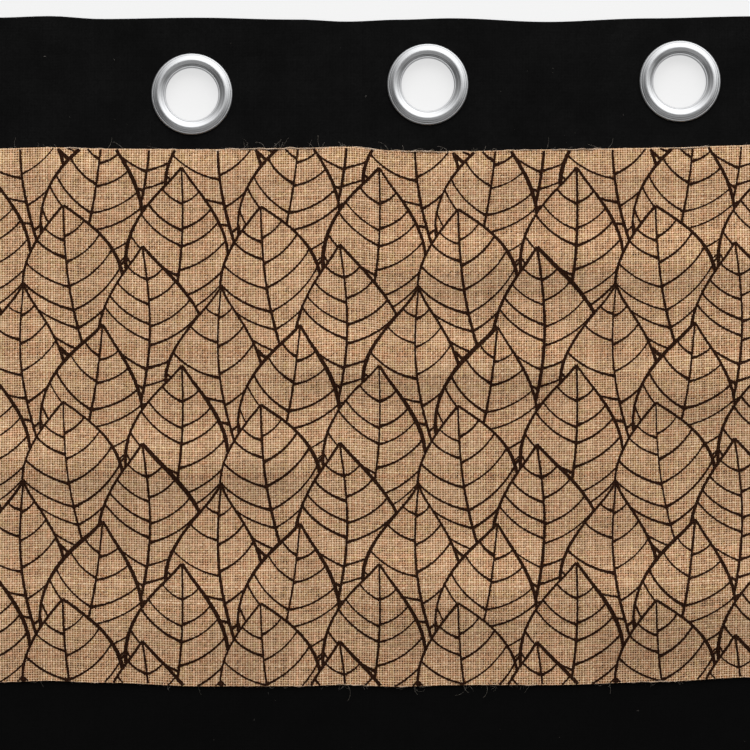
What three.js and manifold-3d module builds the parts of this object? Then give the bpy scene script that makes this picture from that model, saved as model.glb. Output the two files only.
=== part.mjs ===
// An eyelet curtain: black cotton cloth with a broad band of printed jute below its heading.
// Millimetres, +Z up. The front faces -Y, and +X is to the right as seen from the front.
// The origin is the middle of the top edge, in the middle of the black cloth's thickness.
import * as THREE from "three";
import { mergeVertices } from "three/addons/utils/BufferGeometryUtils.js";
import Module from "manifold-3d";

// Driving dimensions. A drop is measured down the cloth from the top edge.
const CURTAIN_WIDTH = 1400;
const CURTAIN_DROP = 1750;
const HEADING_DROP = 101;
const JUTE_HEAD_DROP = 96.6;
const JUTE_FOOT_DROP = 490;
const CLOTH_THICK = 1;
const HEADING_THICK = 2;
const JUTE_THICK = 1.2;
const CLEARANCE = 0.3;

// The hems are turned to the back, so the cloth is thicker there.
const SIDE_HEM_WIDTH = 25;
const FOOT_HEM_DEPTH = 70;
const HEM_EXTRA_THICK = 1;
const HEM_STEP = 2;

// Eyelets: a domed front ring, and a back ring whose barrel lines the hole in the cloth.
const EYELET_SEGMENTS = 20;
const EYELET_RADIUS = 30;
const BORE_RADIUS = 20;
const BARREL_RADIUS = 19.3;
const RING_WALL = 0.9;
const LIP_DEPTH = 1.2;
const CLOTH_HOLE_RADIUS = 21.8;

// Where each eyelet sits, in millimetres, and how it stands off straight, in degrees.
const EYELETS = [
  { x: -627, z: -51.5, turn: 0.5, lean: -0.4 },
  { x: -448, z: -54.0, turn: -0.4, lean: 0.5 },
  { x: -262.6, z: -56.4, turn: 0.6, lean: 0.3 },
  { x: -89.2, z: -49.3, turn: -0.3, lean: -0.3 },
  { x: 96.2, z: -47.0, turn: 0.3, lean: 0.4 },
  { x: 271, z: -50.5, turn: -0.6, lean: -0.4 },
  { x: 451, z: -53.0, turn: 0.4, lean: 0.3 },
  { x: 629, z: -49.5, turn: -0.5, lean: -0.3 },
];
// The stiffened heading lies flat this far to each side of an eyelet, and eases off further out.
const EYELET_FLAT = 33;
const EYELET_EASE = 75;

// How far each edge of the cloth wanders up from its straight line, at places across the width.
const EDGES = [
  { x: -700, head: 1.0, juteHead: -1.0, juteFoot: 1.0, foot: 2.0 },
  { x: -610, head: 1.5, juteHead: 1.0, juteFoot: -1.0, foot: 0.0 },
  { x: -530, head: -1.5, juteHead: -0.5, juteFoot: 0.5, foot: -2.0 },
  { x: -450, head: 0.5, juteHead: 0.5, juteFoot: 2.0, foot: 1.0 },
  { x: -404, head: 0.0, juteHead: 0.0, juteFoot: 1.5, foot: 2.5 },
  { x: -367, head: 1.0, juteHead: 1.0, juteFoot: 2.5, foot: 1.5 },
  { x: -330, head: -1.0, juteHead: 0.0, juteFoot: 1.0, foot: 0.0 },
  { x: -257, head: 0.0, juteHead: -0.5, juteFoot: -2.0, foot: -2.0 },
  { x: -183, head: -1.5, juteHead: 0.5, juteFoot: -1.5, foot: 0.5 },
  { x: -150, head: -3.0, juteHead: 1.5, juteFoot: -0.5, foot: 1.5 },
  { x: -110, head: -1.5, juteHead: -1.5, juteFoot: -2.0, foot: 1.0 },
  { x: -73, head: -0.5, juteHead: -2.0, juteFoot: -1.0, foot: 0.0 },
  { x: 0, head: -3.0, juteHead: -0.5, juteFoot: -1.0, foot: -2.0 },
  { x: 74, head: -0.5, juteHead: 0.5, juteFoot: 1.5, foot: 0.5 },
  { x: 148, head: 1.0, juteHead: 2.5, juteFoot: 5.0, foot: 2.0 },
  { x: 230, head: -1.0, juteHead: 1.0, juteFoot: 3.0, foot: -1.0 },
  { x: 320, head: 0.5, juteHead: -1.0, juteFoot: 0.0, foot: -2.5 },
  { x: 400, head: -2.0, juteHead: 0.5, juteFoot: -1.5, foot: 1.0 },
  { x: 500, head: -1.0, juteHead: 1.5, juteFoot: 0.5, foot: 2.5 },
  { x: 590, head: 0.5, juteHead: -0.5, juteFoot: 1.5, foot: -1.0 },
  { x: 700, head: 1.5, juteHead: 0.5, juteFoot: -1.0, foot: 1.0 },
];

// Soft ridges across the jute, left by folding: where each runs, how far it stands out,
// and how far it reaches above and below its crest.
const RIDGES = [
  { drop: 213, left: -780, right: -410, height: 1.7, above: 34, below: 36 },
  { drop: 178, left: -150, right: 330, height: 1.8, above: 30, below: 34 },
  { drop: 256, left: -225, right: 45, height: 1.6, above: 32, below: 30 },
  { drop: 275, left: 35, right: 380, height: 2.2, above: 36, below: 44 },
  { drop: 327, left: -560, right: -150, height: 1.8, above: 34, below: 36 },
  { drop: 417, left: -175, right: 15, height: 2.6, above: 42, below: 76 },
  { drop: 421, left: 20, right: 310, height: 3.2, above: 46, below: 84 },
  { drop: 440, left: -430, right: -180, height: 1.4, above: 48, below: 60 },
  { drop: 412, left: -780, right: -480, height: 2.2, above: 44, below: 62 },
  { drop: 205, left: 400, right: 780, height: 1.9, above: 36, below: 34 },
  { drop: 352, left: 300, right: 780, height: 2.1, above: 38, below: 46 },
];
const RIDGE_FADE = 45;

// Upright waves, at full height at the foot hem: a wave with a positive height stands forward.
const WAVES = [
  { x: -640, reach: 100, height: 9 },
  { x: -520, reach: 90, height: -8 },
  { x: -395, reach: 105, height: 11 },
  { x: -270, reach: 90, height: -9 },
  { x: -150, reach: 90, height: 9 },
  { x: -30, reach: 90, height: -10 },
  { x: 95, reach: 105, height: 11 },
  { x: 225, reach: 90, height: -8 },
  { x: 340, reach: 90, height: 12 },
  { x: 460, reach: 95, height: -10 },
  { x: 575, reach: 90, height: 9 },
  { x: 690, reach: 80, height: -6 },
];
const WAVE_SHARE_AT_HEADING = 0.14;
const WAVE_SHARE_AT_JUTE_FOOT = 0.24;
// The waves draw the side edges in by this share of the width at the foot.
const FOOT_DRAWN_IN = 0.012;

// Drops of the grid's rows: close together where the ridges are, and wide apart below the jute.
const HEADING_ROWS = [0, 12, 50, 90, HEADING_DROP];
const JUTE_ROWS = [150, 178, 205, 232, 256, 275, 301, 327, 360, 390, 419, 455];
const FALL_ROWS = 10;

const black = new THREE.MeshStandardMaterial({ color: 0x121213, roughness: 0.92, metalness: 0 });
const jute = new THREE.MeshStandardMaterial({ color: 0xa88564, roughness: 0.88, metalness: 0 });
const chrome = new THREE.MeshStandardMaterial({ color: 0xd4d6d8, roughness: 0.22, metalness: 1 });

const wasm = await Module();
wasm.setup();

const mix = (a, b, share) => a + (b - a) * share;

// 0 up to the start, 1 from the end on, and an S between them.
function ease(start, end, value) {
  return THREE.MathUtils.smoothstep(value, start, end);
}

// 1 at the crest and 0 at the full reach.
function crest(distance, reach) {
  return Math.abs(distance) < reach ? Math.cos((Math.PI / 2) * (distance / reach)) ** 2 : 0;
}

// The rise of one edge at a place across the width, eased from row to row of the table.
function edgeRise(x, edge) {
  const last = EDGES.length - 1;
  const after = THREE.MathUtils.clamp(EDGES.findIndex((row) => row.x > x), 1, last);
  const right = x >= EDGES[last].x ? EDGES[last] : EDGES[after];
  const left = x >= EDGES[last].x ? EDGES[last - 1] : EDGES[after - 1];
  return mix(left[edge], right[edge], ease(left.x, right.x, x));
}

function clothRise(x, drop) {
  if (drop < JUTE_HEAD_DROP)
    return mix(edgeRise(x, "head"), edgeRise(x, "juteHead"), drop / JUTE_HEAD_DROP);
  if (drop < JUTE_FOOT_DROP)
    return mix(
      edgeRise(x, "juteHead"),
      edgeRise(x, "juteFoot"),
      (drop - JUTE_HEAD_DROP) / (JUTE_FOOT_DROP - JUTE_HEAD_DROP),
    );
  return mix(
    edgeRise(x, "juteFoot"),
    edgeRise(x, "foot"),
    (drop - JUTE_FOOT_DROP) / (CURTAIN_DROP - JUTE_FOOT_DROP),
  );
}

// How far forward the upright waves stand at a place across the width, at full height.
function waveHeight(x) {
  return WAVES.reduce((sum, wave) => sum + wave.height * crest(x - wave.x, wave.reach), 0);
}

function waveShare(drop) {
  if (drop < JUTE_FOOT_DROP)
    return mix(
      WAVE_SHARE_AT_HEADING,
      WAVE_SHARE_AT_JUTE_FOOT,
      ease(HEADING_DROP, JUTE_FOOT_DROP, drop),
    );
  return mix(WAVE_SHARE_AT_JUTE_FOOT, 1, ease(JUTE_FOOT_DROP, CURTAIN_DROP, drop));
}

function ridgeHeight(x, drop) {
  return RIDGES.reduce((sum, ridge) => {
    const along =
      ease(ridge.left, ridge.left + RIDGE_FADE, x) *
      (1 - ease(ridge.right - RIDGE_FADE, ridge.right, x));
    const reach = drop < ridge.drop ? ridge.above : ridge.below;
    return sum + ridge.height * along * crest(drop - ridge.drop, reach);
  }, 0);
}

// The heading's own shape: flat at each eyelet, square to that eyelet's axis.
function headingDepth(x, z) {
  let depth = 0;
  let loose = 1;
  for (const eyelet of EYELETS) {
    const share = 1 - ease(EYELET_FLAT, EYELET_EASE, Math.abs(x - eyelet.x));
    const turned = Math.tan(THREE.MathUtils.degToRad(eyelet.turn)) * (x - eyelet.x);
    const leaning = Math.tan(THREE.MathUtils.degToRad(eyelet.lean)) * (z - eyelet.z);
    depth += share * (turned + leaning);
    loose -= share;
  }
  return depth - loose * WAVE_SHARE_AT_HEADING * waveHeight(x);
}

// A point of the black cloth's middle surface, from its place across and down the flat cloth.
function clothPoint(x, drop) {
  const z = clothRise(x, drop) - drop;
  const free = ease(HEADING_DROP, 2 * HEADING_DROP, drop);
  const fallen = -waveShare(drop) * waveHeight(x);
  const depth = mix(headingDepth(x, z), fallen, free) - ridgeHeight(x, drop);
  const drawnIn = FOOT_DRAWN_IN * ease(JUTE_FOOT_DROP, CURTAIN_DROP, drop);
  return new THREE.Vector3(x * (1 - drawnIn), depth, z);
}

// Columns of the grid: the flat of each eyelet, two between each pair, and the side hems.
function clothColumns() {
  const half = CURTAIN_WIDTH / 2;
  const hem = [half, half - SIDE_HEM_WIDTH + HEM_STEP / 2, half - SIDE_HEM_WIDTH - HEM_STEP / 2];
  const columns = [...hem, ...hem.map((x) => -x)];
  EYELETS.forEach((eyelet, i) => {
    columns.push(eyelet.x - EYELET_FLAT, eyelet.x, eyelet.x + EYELET_FLAT);
    if (i === 0) return;
    const from = EYELETS[i - 1].x + EYELET_FLAT;
    const to = eyelet.x - EYELET_FLAT;
    columns.push(mix(from, to, 1 / 3), mix(from, to, 2 / 3));
  });
  return columns.sort((a, b) => a - b);
}

// A closed sheet between two faces, each a depth behind the cloth's middle surface.
function sheetGeometry(columns, rows, frontDepth, backDepth) {
  const positions = [];
  const faces = [frontDepth, backDepth];
  for (const depthAt of faces)
    for (const drop of rows)
      for (const x of columns) {
        const point = clothPoint(x, drop);
        positions.push(point.x, point.y + depthAt(x, drop), point.z);
      }
  const across = columns.length;
  const front = (i, j) => j * across + i;
  const back = (i, j) => rows.length * across + front(i, j);
  const index = [];
  const quad = (a, b, c, d) => index.push(a, b, c, a, c, d);
  const right = across - 1;
  const foot = rows.length - 1;
  for (let j = 0; j < foot; j++) {
    for (let i = 0; i < right; i++) {
      quad(front(i, j), front(i, j + 1), front(i + 1, j + 1), front(i + 1, j));
      quad(back(i, j), back(i + 1, j), back(i + 1, j + 1), back(i, j + 1));
    }
    quad(front(0, j), back(0, j), back(0, j + 1), front(0, j + 1));
    quad(front(right, j), front(right, j + 1), back(right, j + 1), back(right, j));
  }
  for (let i = 0; i < right; i++) {
    quad(front(i, 0), front(i + 1, 0), back(i + 1, 0), back(i, 0));
    quad(front(i, foot), back(i, foot), back(i + 1, foot), front(i + 1, foot));
  }
  return new THREE.BufferGeometry()
    .setAttribute("position", new THREE.Float32BufferAttribute(positions, 3))
    .setIndex(index);
}

function toSolid(geometry) {
  const bare = geometry.clone().deleteAttribute("normal").deleteAttribute("uv");
  const merged = mergeVertices(bare);
  return new wasm.Manifold(
    new wasm.Mesh({
      numProp: 3,
      vertProperties: new Float32Array(merged.attributes.position.array),
      triVerts: new Uint32Array(merged.index.array),
    }),
  );
}

function fromSolid(solid) {
  const mesh = solid.getMesh();
  return new THREE.BufferGeometry()
    .setAttribute("position", new THREE.BufferAttribute(mesh.vertProperties, 3))
    .setIndex(new THREE.BufferAttribute(mesh.triVerts, 1));
}

// The stiffened strip with its row of eyelet holes.
function headingGeometry(columns) {
  const front = -CLOTH_THICK / 2;
  const strip = sheetGeometry(
    columns,
    HEADING_ROWS,
    () => front,
    () => front + HEADING_THICK,
  );
  let solid = toSolid(strip);
  const radius = CLOTH_HOLE_RADIUS;
  const punchLength = 10 * HEADING_THICK;
  for (const eyelet of EYELETS) {
    const punch = new THREE.CylinderGeometry(radius, radius, punchLength, EYELET_SEGMENTS);
    punch.translate(eyelet.x, 0, eyelet.z);
    solid = solid.subtract(toSolid(punch));
  }
  return fromSolid(solid);
}

// How much thicker the cloth is at a place, for the hems turned to its back.
function hemThickness(x, drop) {
  const step = HEM_STEP / 2;
  const sideHem = CURTAIN_WIDTH / 2 - SIDE_HEM_WIDTH;
  const footHem = CURTAIN_DROP - FOOT_HEM_DEPTH;
  const side = ease(sideHem - step, sideHem + step, Math.abs(x));
  const foot = ease(footHem - step, footHem + step, drop);
  return HEM_EXTRA_THICK * Math.max(side, foot);
}

function blackPanelRows() {
  const hemTop = CURTAIN_DROP - FOOT_HEM_DEPTH;
  const rows = [HEADING_DROP + CLEARANCE, ...JUTE_ROWS];
  for (let i = 0; i < FALL_ROWS; i++)
    rows.push(mix(JUTE_FOOT_DROP, hemTop - HEM_STEP / 2, i / (FALL_ROWS - 1)));
  return [...rows, hemTop + HEM_STEP / 2, CURTAIN_DROP];
}

function blackPanelGeometry(columns) {
  return sheetGeometry(
    columns,
    blackPanelRows(),
    () => -CLOTH_THICK / 2,
    (x, drop) => CLOTH_THICK / 2 + hemThickness(x, drop),
  );
}

// The jute lies on the front of the heading's foot and of the black panel.
function jutePanelGeometry(columns) {
  const back = -CLOTH_THICK / 2 - CLEARANCE;
  return sheetGeometry(
    columns,
    [JUTE_HEAD_DROP, HEADING_DROP + CLEARANCE, ...JUTE_ROWS, JUTE_FOOT_DROP],
    () => back - JUTE_THICK,
    () => back,
  );
}

// A ring turned about the Y axis from a closed section of [radius, height in front of the cloth].
function turnedRing(section) {
  const closed = [...section, section[0]].reverse();
  const points = closed.map(([radius, height]) => new THREE.Vector2(radius, -height));
  return new THREE.LatheGeometry(points, EYELET_SEGMENTS);
}

// The front ring is pressed from sheet, so it is hollow behind its dome.
function frontRingGeometry() {
  const rim = EYELET_RADIUS;
  return turnedRing([
    [rim, CLEARANCE],
    [rim - 0.2, 1.1],
    [rim - 1.5, 2.5],
    [rim - 3.4, 3.3],
    [rim - 5.4, 3.6],
    [rim - 7.6, 3.1],
    [BORE_RADIUS + 0.9, 1.6],
    [BORE_RADIUS, -0.2],
    [BORE_RADIUS, -LIP_DEPTH],
    [BORE_RADIUS + RING_WALL, -LIP_DEPTH],
    [BORE_RADIUS + 1.9, 1.2],
    [rim - 5.2, 3.6 - RING_WALL],
    [rim - 1.9, 1.5],
    [rim - RING_WALL, CLEARANCE],
  ]);
}

// The back ring's barrel comes through the cloth and ends just behind the front ring's lip.
function backRingGeometry() {
  const face = -HEADING_THICK - CLEARANCE;
  const mouth = -LIP_DEPTH - CLEARANCE;
  const rim = EYELET_RADIUS - 1.4;
  return turnedRing([
    [BARREL_RADIUS, mouth],
    [BARREL_RADIUS, face - 0.6],
    [BARREL_RADIUS + 0.9, face - 1.4],
    [rim - 3, face - 1.3],
    [rim, face - 0.5],
    [rim, face],
    [BORE_RADIUS + RING_WALL, face],
    [BORE_RADIUS + RING_WALL, mouth],
  ]);
}

const curtain = new THREE.Group();

function addPiece(name, geometry, material, parent = curtain) {
  const mesh = new THREE.Mesh(geometry, material);
  mesh.name = name;
  parent.add(mesh);
}

const columns = clothColumns();
addPiece("heading_band", headingGeometry(columns), black);
addPiece("black_panel", blackPanelGeometry(columns), black);
addPiece("jute_panel", jutePanelGeometry(columns), jute);

EYELETS.forEach((eyelet, i) => {
  const seat = new THREE.Group();
  seat.position.set(eyelet.x, -CLOTH_THICK / 2, eyelet.z);
  seat.rotation.set(
    -THREE.MathUtils.degToRad(eyelet.lean),
    0,
    THREE.MathUtils.degToRad(eyelet.turn),
  );
  curtain.add(seat);
  addPiece(`eyelet_front_${i + 1}`, frontRingGeometry(), chrome, seat);
  addPiece(`eyelet_back_${i + 1}`, backRingGeometry(), chrome, seat);
});

export default curtain;
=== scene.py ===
"""A jute eyelet curtain: black cotton cloth with a broad band of leaf-printed jute.

All lengths in this script are millimetres until a mesh is made, which scales them to metres.
The front faces -Y, +Z is up, and the origin is the middle of the curtain's top edge.
A drop is measured down the cloth from that edge.
"""

import logging
import math
from collections.abc import Callable, Iterable, Sequence
from dataclasses import dataclass, field
from enum import Enum

import bpy
import numpy as np
from mathutils import Euler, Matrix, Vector


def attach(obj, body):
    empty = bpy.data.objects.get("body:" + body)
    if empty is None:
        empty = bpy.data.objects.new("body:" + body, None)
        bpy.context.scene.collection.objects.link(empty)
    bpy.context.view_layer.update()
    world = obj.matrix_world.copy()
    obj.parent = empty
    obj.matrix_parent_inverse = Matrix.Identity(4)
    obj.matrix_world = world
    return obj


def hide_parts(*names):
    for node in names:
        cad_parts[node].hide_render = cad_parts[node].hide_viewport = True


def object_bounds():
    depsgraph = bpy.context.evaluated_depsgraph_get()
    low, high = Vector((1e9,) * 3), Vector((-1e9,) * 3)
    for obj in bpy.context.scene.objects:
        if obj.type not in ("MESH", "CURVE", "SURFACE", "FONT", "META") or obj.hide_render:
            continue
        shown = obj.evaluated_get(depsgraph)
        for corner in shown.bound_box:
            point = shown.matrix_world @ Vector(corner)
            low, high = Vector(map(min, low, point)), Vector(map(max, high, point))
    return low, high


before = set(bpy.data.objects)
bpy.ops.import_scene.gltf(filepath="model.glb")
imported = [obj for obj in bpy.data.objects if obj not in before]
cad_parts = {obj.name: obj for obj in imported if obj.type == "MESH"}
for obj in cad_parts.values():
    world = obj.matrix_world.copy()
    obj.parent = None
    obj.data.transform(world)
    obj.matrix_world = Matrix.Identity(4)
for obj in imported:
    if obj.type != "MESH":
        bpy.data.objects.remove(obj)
CAD_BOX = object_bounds()

MM = 0.001
FLAT_MAP = "laid_flat"
BODY = "root"

# The cloth's own sizes, as cut and hung.
CURTAIN_WIDTH = 1400.0
CURTAIN_DROP = 1750.0
HEADING_DROP = 101.0
JUTE_HEAD_DROP = 96.6
JUTE_FOOT_DROP = 490.0
CLOTH_THICK = 1.0
HEADING_THICK = 2.0
JUTE_THICK = 1.2
CLEARANCE = 0.3
SIDE_HEM_WIDTH = 25.0
FOOT_HEM_DEPTH = 70.0
HEM_EXTRA_THICK = 1.0
HEM_STEP = 2.0

# The eyelets' main radii.
EYELET_RADIUS = 30.0
BORE_RADIUS = 20.0
BARREL_RADIUS = 19.3
CLOTH_HOLE_RADIUS = 21.8

# The waves and the flat places of the heading.
EYELET_FLAT = 33.0
EYELET_EASE = 75.0
RIDGE_FADE = 45.0
WAVE_SHARE_AT_HEADING = 0.14
WAVE_SHARE_AT_JUTE_FOOT = 0.24
FOOT_DRAWN_IN = 0.012

# The photo's frame, on the curtain.
VIEW_WIDTH = 551.5
VIEW_CENTRE_X = -128.0
VIEW_CENTRE_Z = -262.9

log = logging.getLogger("curtain")


@dataclass(frozen=True)
class EyeletPlace:
    """Where one eyelet sits, in millimetres, and how it stands off straight, in degrees."""

    x: float
    z: float
    turn: float
    lean: float


EYELETS = (
    EyeletPlace(x=-627, z=-51.5, turn=0.5, lean=-0.4),
    EyeletPlace(x=-448, z=-54.0, turn=-0.4, lean=0.5),
    EyeletPlace(x=-262.6, z=-56.4, turn=0.6, lean=0.3),
    EyeletPlace(x=-89.2, z=-49.3, turn=-0.3, lean=-0.3),
    EyeletPlace(x=96.2, z=-47.0, turn=0.3, lean=0.4),
    EyeletPlace(x=271, z=-50.5, turn=-0.6, lean=-0.4),
    EyeletPlace(x=451, z=-53.0, turn=0.4, lean=0.3),
    EyeletPlace(x=629, z=-49.5, turn=-0.5, lean=-0.3),
)


@dataclass(frozen=True)
class EdgeRow:
    """How far each edge of the cloth wanders up from its straight line, at one place across."""

    x: float
    head: float
    jute_head: float
    jute_foot: float
    foot: float


EDGES = (
    EdgeRow(x=-700, head=1.0, jute_head=-1.0, jute_foot=1.0, foot=2.0),
    EdgeRow(x=-610, head=1.5, jute_head=1.0, jute_foot=-1.0, foot=0.0),
    EdgeRow(x=-530, head=-1.5, jute_head=-0.5, jute_foot=0.5, foot=-2.0),
    EdgeRow(x=-450, head=0.5, jute_head=0.5, jute_foot=2.0, foot=1.0),
    EdgeRow(x=-404, head=0.0, jute_head=0.0, jute_foot=1.5, foot=2.5),
    EdgeRow(x=-367, head=1.0, jute_head=1.0, jute_foot=2.5, foot=1.5),
    EdgeRow(x=-330, head=-1.0, jute_head=0.0, jute_foot=1.0, foot=0.0),
    EdgeRow(x=-257, head=0.0, jute_head=-0.5, jute_foot=-2.0, foot=-2.0),
    EdgeRow(x=-183, head=-1.5, jute_head=0.5, jute_foot=-1.5, foot=0.5),
    EdgeRow(x=-150, head=-3.0, jute_head=1.5, jute_foot=-0.5, foot=1.5),
    EdgeRow(x=-110, head=-1.5, jute_head=-1.5, jute_foot=-2.0, foot=1.0),
    EdgeRow(x=-73, head=-0.5, jute_head=-2.0, jute_foot=-1.0, foot=0.0),
    EdgeRow(x=0, head=-3.0, jute_head=-0.5, jute_foot=-1.0, foot=-2.0),
    EdgeRow(x=74, head=-0.5, jute_head=0.5, jute_foot=1.5, foot=0.5),
    EdgeRow(x=148, head=1.0, jute_head=2.5, jute_foot=5.0, foot=2.0),
    EdgeRow(x=230, head=-1.0, jute_head=1.0, jute_foot=3.0, foot=-1.0),
    EdgeRow(x=320, head=0.5, jute_head=-1.0, jute_foot=0.0, foot=-2.5),
    EdgeRow(x=400, head=-2.0, jute_head=0.5, jute_foot=-1.5, foot=1.0),
    EdgeRow(x=500, head=-1.0, jute_head=1.5, jute_foot=0.5, foot=2.5),
    EdgeRow(x=590, head=0.5, jute_head=-0.5, jute_foot=1.5, foot=-1.0),
    EdgeRow(x=700, head=1.5, jute_head=0.5, jute_foot=-1.0, foot=1.0),
)


@dataclass(frozen=True)
class Ridge:
    """A soft ridge across the jute: where it runs, how far it stands out and how far it reaches."""

    drop: float
    left: float
    right: float
    height: float
    above: float
    below: float


RIDGES = (
    Ridge(drop=112, left=-780, right=780, height=1.2, above=15, below=28),
    Ridge(drop=213, left=-780, right=-410, height=2.4, above=34, below=36),
    Ridge(drop=180, left=-150, right=330, height=3.4, above=34, below=30),
    Ridge(drop=256, left=-225, right=45, height=2.6, above=34, below=28),
    Ridge(drop=272, left=35, right=380, height=3.8, above=38, below=40),
    Ridge(drop=330, left=-560, right=-150, height=3.2, above=38, below=30),
    Ridge(drop=423, left=-175, right=15, height=5.2, above=48, below=60),
    Ridge(drop=432, left=5, right=310, height=5.8, above=50, below=58),
    Ridge(drop=440, left=-430, right=-180, height=3.2, above=48, below=50),
    Ridge(drop=412, left=-780, right=-480, height=3.4, above=44, below=62),
    Ridge(drop=205, left=400, right=780, height=3.0, above=36, below=34),
    Ridge(drop=352, left=300, right=780, height=3.2, above=38, below=46),
)


@dataclass(frozen=True)
class Wave:
    """An upright wave, at full height at the foot hem. A positive height stands forward."""

    x: float
    reach: float
    height: float


WAVES = (
    Wave(x=-640, reach=100, height=9),
    Wave(x=-520, reach=90, height=-8),
    Wave(x=-395, reach=105, height=11),
    Wave(x=-270, reach=90, height=-9),
    Wave(x=-150, reach=90, height=9),
    Wave(x=-30, reach=90, height=-10),
    Wave(x=95, reach=105, height=11),
    Wave(x=225, reach=90, height=-8),
    Wave(x=340, reach=90, height=12),
    Wave(x=460, reach=95, height=-10),
    Wave(x=575, reach=90, height=9),
    Wave(x=690, reach=80, height=-6),
)


def ease(start: float, end: float, value: np.ndarray) -> np.ndarray:
    """Returns 0 up to start, 1 from end on, and an S between them."""
    share = np.clip((value - start) / (end - start), 0.0, 1.0)
    return share * share * (3.0 - 2.0 * share)


def crest(distance: np.ndarray, reach: np.ndarray | float) -> np.ndarray:
    """Returns 1 at the crest and 0 from the full reach on."""
    share = np.clip(np.abs(distance) / reach, 0.0, 1.0)
    return np.cos(0.5 * np.pi * share) ** 2


def mix(a: np.ndarray | float, b: np.ndarray | float, share: np.ndarray | float) -> np.ndarray:
    """Returns the value a share of the way from a to b."""
    return a + (b - a) * share


def spread(start: float, end: float, step: float) -> np.ndarray:
    """Returns even places from start to end, both included, at most a step apart."""
    count = max(1, math.ceil(abs(end - start) / step))
    return np.linspace(start, end, count + 1)


class ClothShape:
    """The hung cloth's middle surface, from places on the flat cloth."""

    def edge_rise(self, x: np.ndarray, edge: str) -> np.ndarray:
        """Works out how far one edge rises.

        Args:
            x: Places across the flat cloth.
            edge: The name of an EdgeRow column.

        Returns:
            The rise at each place.
        """
        places = np.array([row.x for row in EDGES])
        rises = np.array([getattr(row, edge) for row in EDGES])
        after = np.clip(np.searchsorted(places, x, side="right"), 1, len(EDGES) - 1)
        share = np.clip((x - places[after - 1]) / (places[after] - places[after - 1]), 0.0, 1.0)
        return mix(rises[after - 1], rises[after], share * share * (3.0 - 2.0 * share))

    def rise(self, x: np.ndarray, drop: np.ndarray) -> np.ndarray:
        """Returns how far the cloth at each place rises off its straight rows."""
        head = self.edge_rise(x, "head")
        jute_head = self.edge_rise(x, "jute_head")
        jute_foot = self.edge_rise(x, "jute_foot")
        foot = self.edge_rise(x, "foot")
        in_jute = (drop - JUTE_HEAD_DROP) / (JUTE_FOOT_DROP - JUTE_HEAD_DROP)
        in_fall = (drop - JUTE_FOOT_DROP) / (CURTAIN_DROP - JUTE_FOOT_DROP)
        below = mix(jute_foot, foot, in_fall)
        upper = np.where(
            drop < JUTE_HEAD_DROP,
            mix(head, jute_head, drop / JUTE_HEAD_DROP),
            mix(jute_head, jute_foot, in_jute),
        )
        return np.where(drop < JUTE_FOOT_DROP, upper, below)

    def wave_height(self, x: np.ndarray) -> np.ndarray:
        """Returns how far forward the upright waves stand across the width, at full height."""
        return sum(wave.height * crest(x - wave.x, wave.reach) for wave in WAVES)

    def wave_share(self, drop: np.ndarray) -> np.ndarray:
        """Returns the share of the waves' full height at each drop."""
        in_jute = ease(HEADING_DROP, JUTE_FOOT_DROP, drop)
        upper = mix(WAVE_SHARE_AT_HEADING, WAVE_SHARE_AT_JUTE_FOOT, in_jute)
        lower = mix(WAVE_SHARE_AT_JUTE_FOOT, 1.0, ease(JUTE_FOOT_DROP, CURTAIN_DROP, drop))
        return np.where(drop < JUTE_FOOT_DROP, upper, lower)

    def ridge_height(self, x: np.ndarray, drop: np.ndarray) -> np.ndarray:
        """Returns how far the soft ridges stand forward."""
        height = np.zeros(np.broadcast(x, drop).shape)
        for ridge in RIDGES:
            along = ease(ridge.left, ridge.left + RIDGE_FADE, x)
            along = along * (1.0 - ease(ridge.right - RIDGE_FADE, ridge.right, x))
            reach = np.where(drop < ridge.drop, ridge.above, ridge.below)
            height += ridge.height * along * crest(drop - ridge.drop, reach)
        return height

    def heading_depth(self, x: np.ndarray, z: np.ndarray) -> np.ndarray:
        """Returns the heading's depth, which is flat and square to each eyelet at that eyelet."""
        depth = np.zeros(np.broadcast(x, z).shape)
        loose = np.ones(depth.shape)
        for eyelet in EYELETS:
            share = 1.0 - ease(EYELET_FLAT, EYELET_EASE, np.abs(x - eyelet.x))
            turned = math.tan(math.radians(eyelet.turn)) * (x - eyelet.x)
            leaning = math.tan(math.radians(eyelet.lean)) * (z - eyelet.z)
            depth += share * (turned + leaning)
            loose -= share
        return depth - loose * WAVE_SHARE_AT_HEADING * self.wave_height(x)

    def point(self, x: np.ndarray, drop: np.ndarray, behind: np.ndarray | float = 0.0) -> np.ndarray:
        """Places points of the flat cloth on the hung cloth.

        Args:
            x: Places across the flat cloth.
            drop: Places down the flat cloth.
            behind: How far behind the middle surface each point lies.

        Returns:
            An array of points, one row of three each.
        """
        x, drop = np.broadcast_arrays(np.asarray(x, float), np.asarray(drop, float))
        z = self.rise(x, drop) - drop
        free = ease(HEADING_DROP, 2 * HEADING_DROP, drop)
        fallen = -self.wave_share(drop) * self.wave_height(x)
        depth = mix(self.heading_depth(x, z), fallen, free) - self.ridge_height(x, drop)
        drawn_in = FOOT_DRAWN_IN * ease(JUTE_FOOT_DROP, CURTAIN_DROP, drop)
        return np.stack([x * (1.0 - drawn_in), depth + behind, z], axis=-1)


CLOTH = ClothShape()


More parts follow.
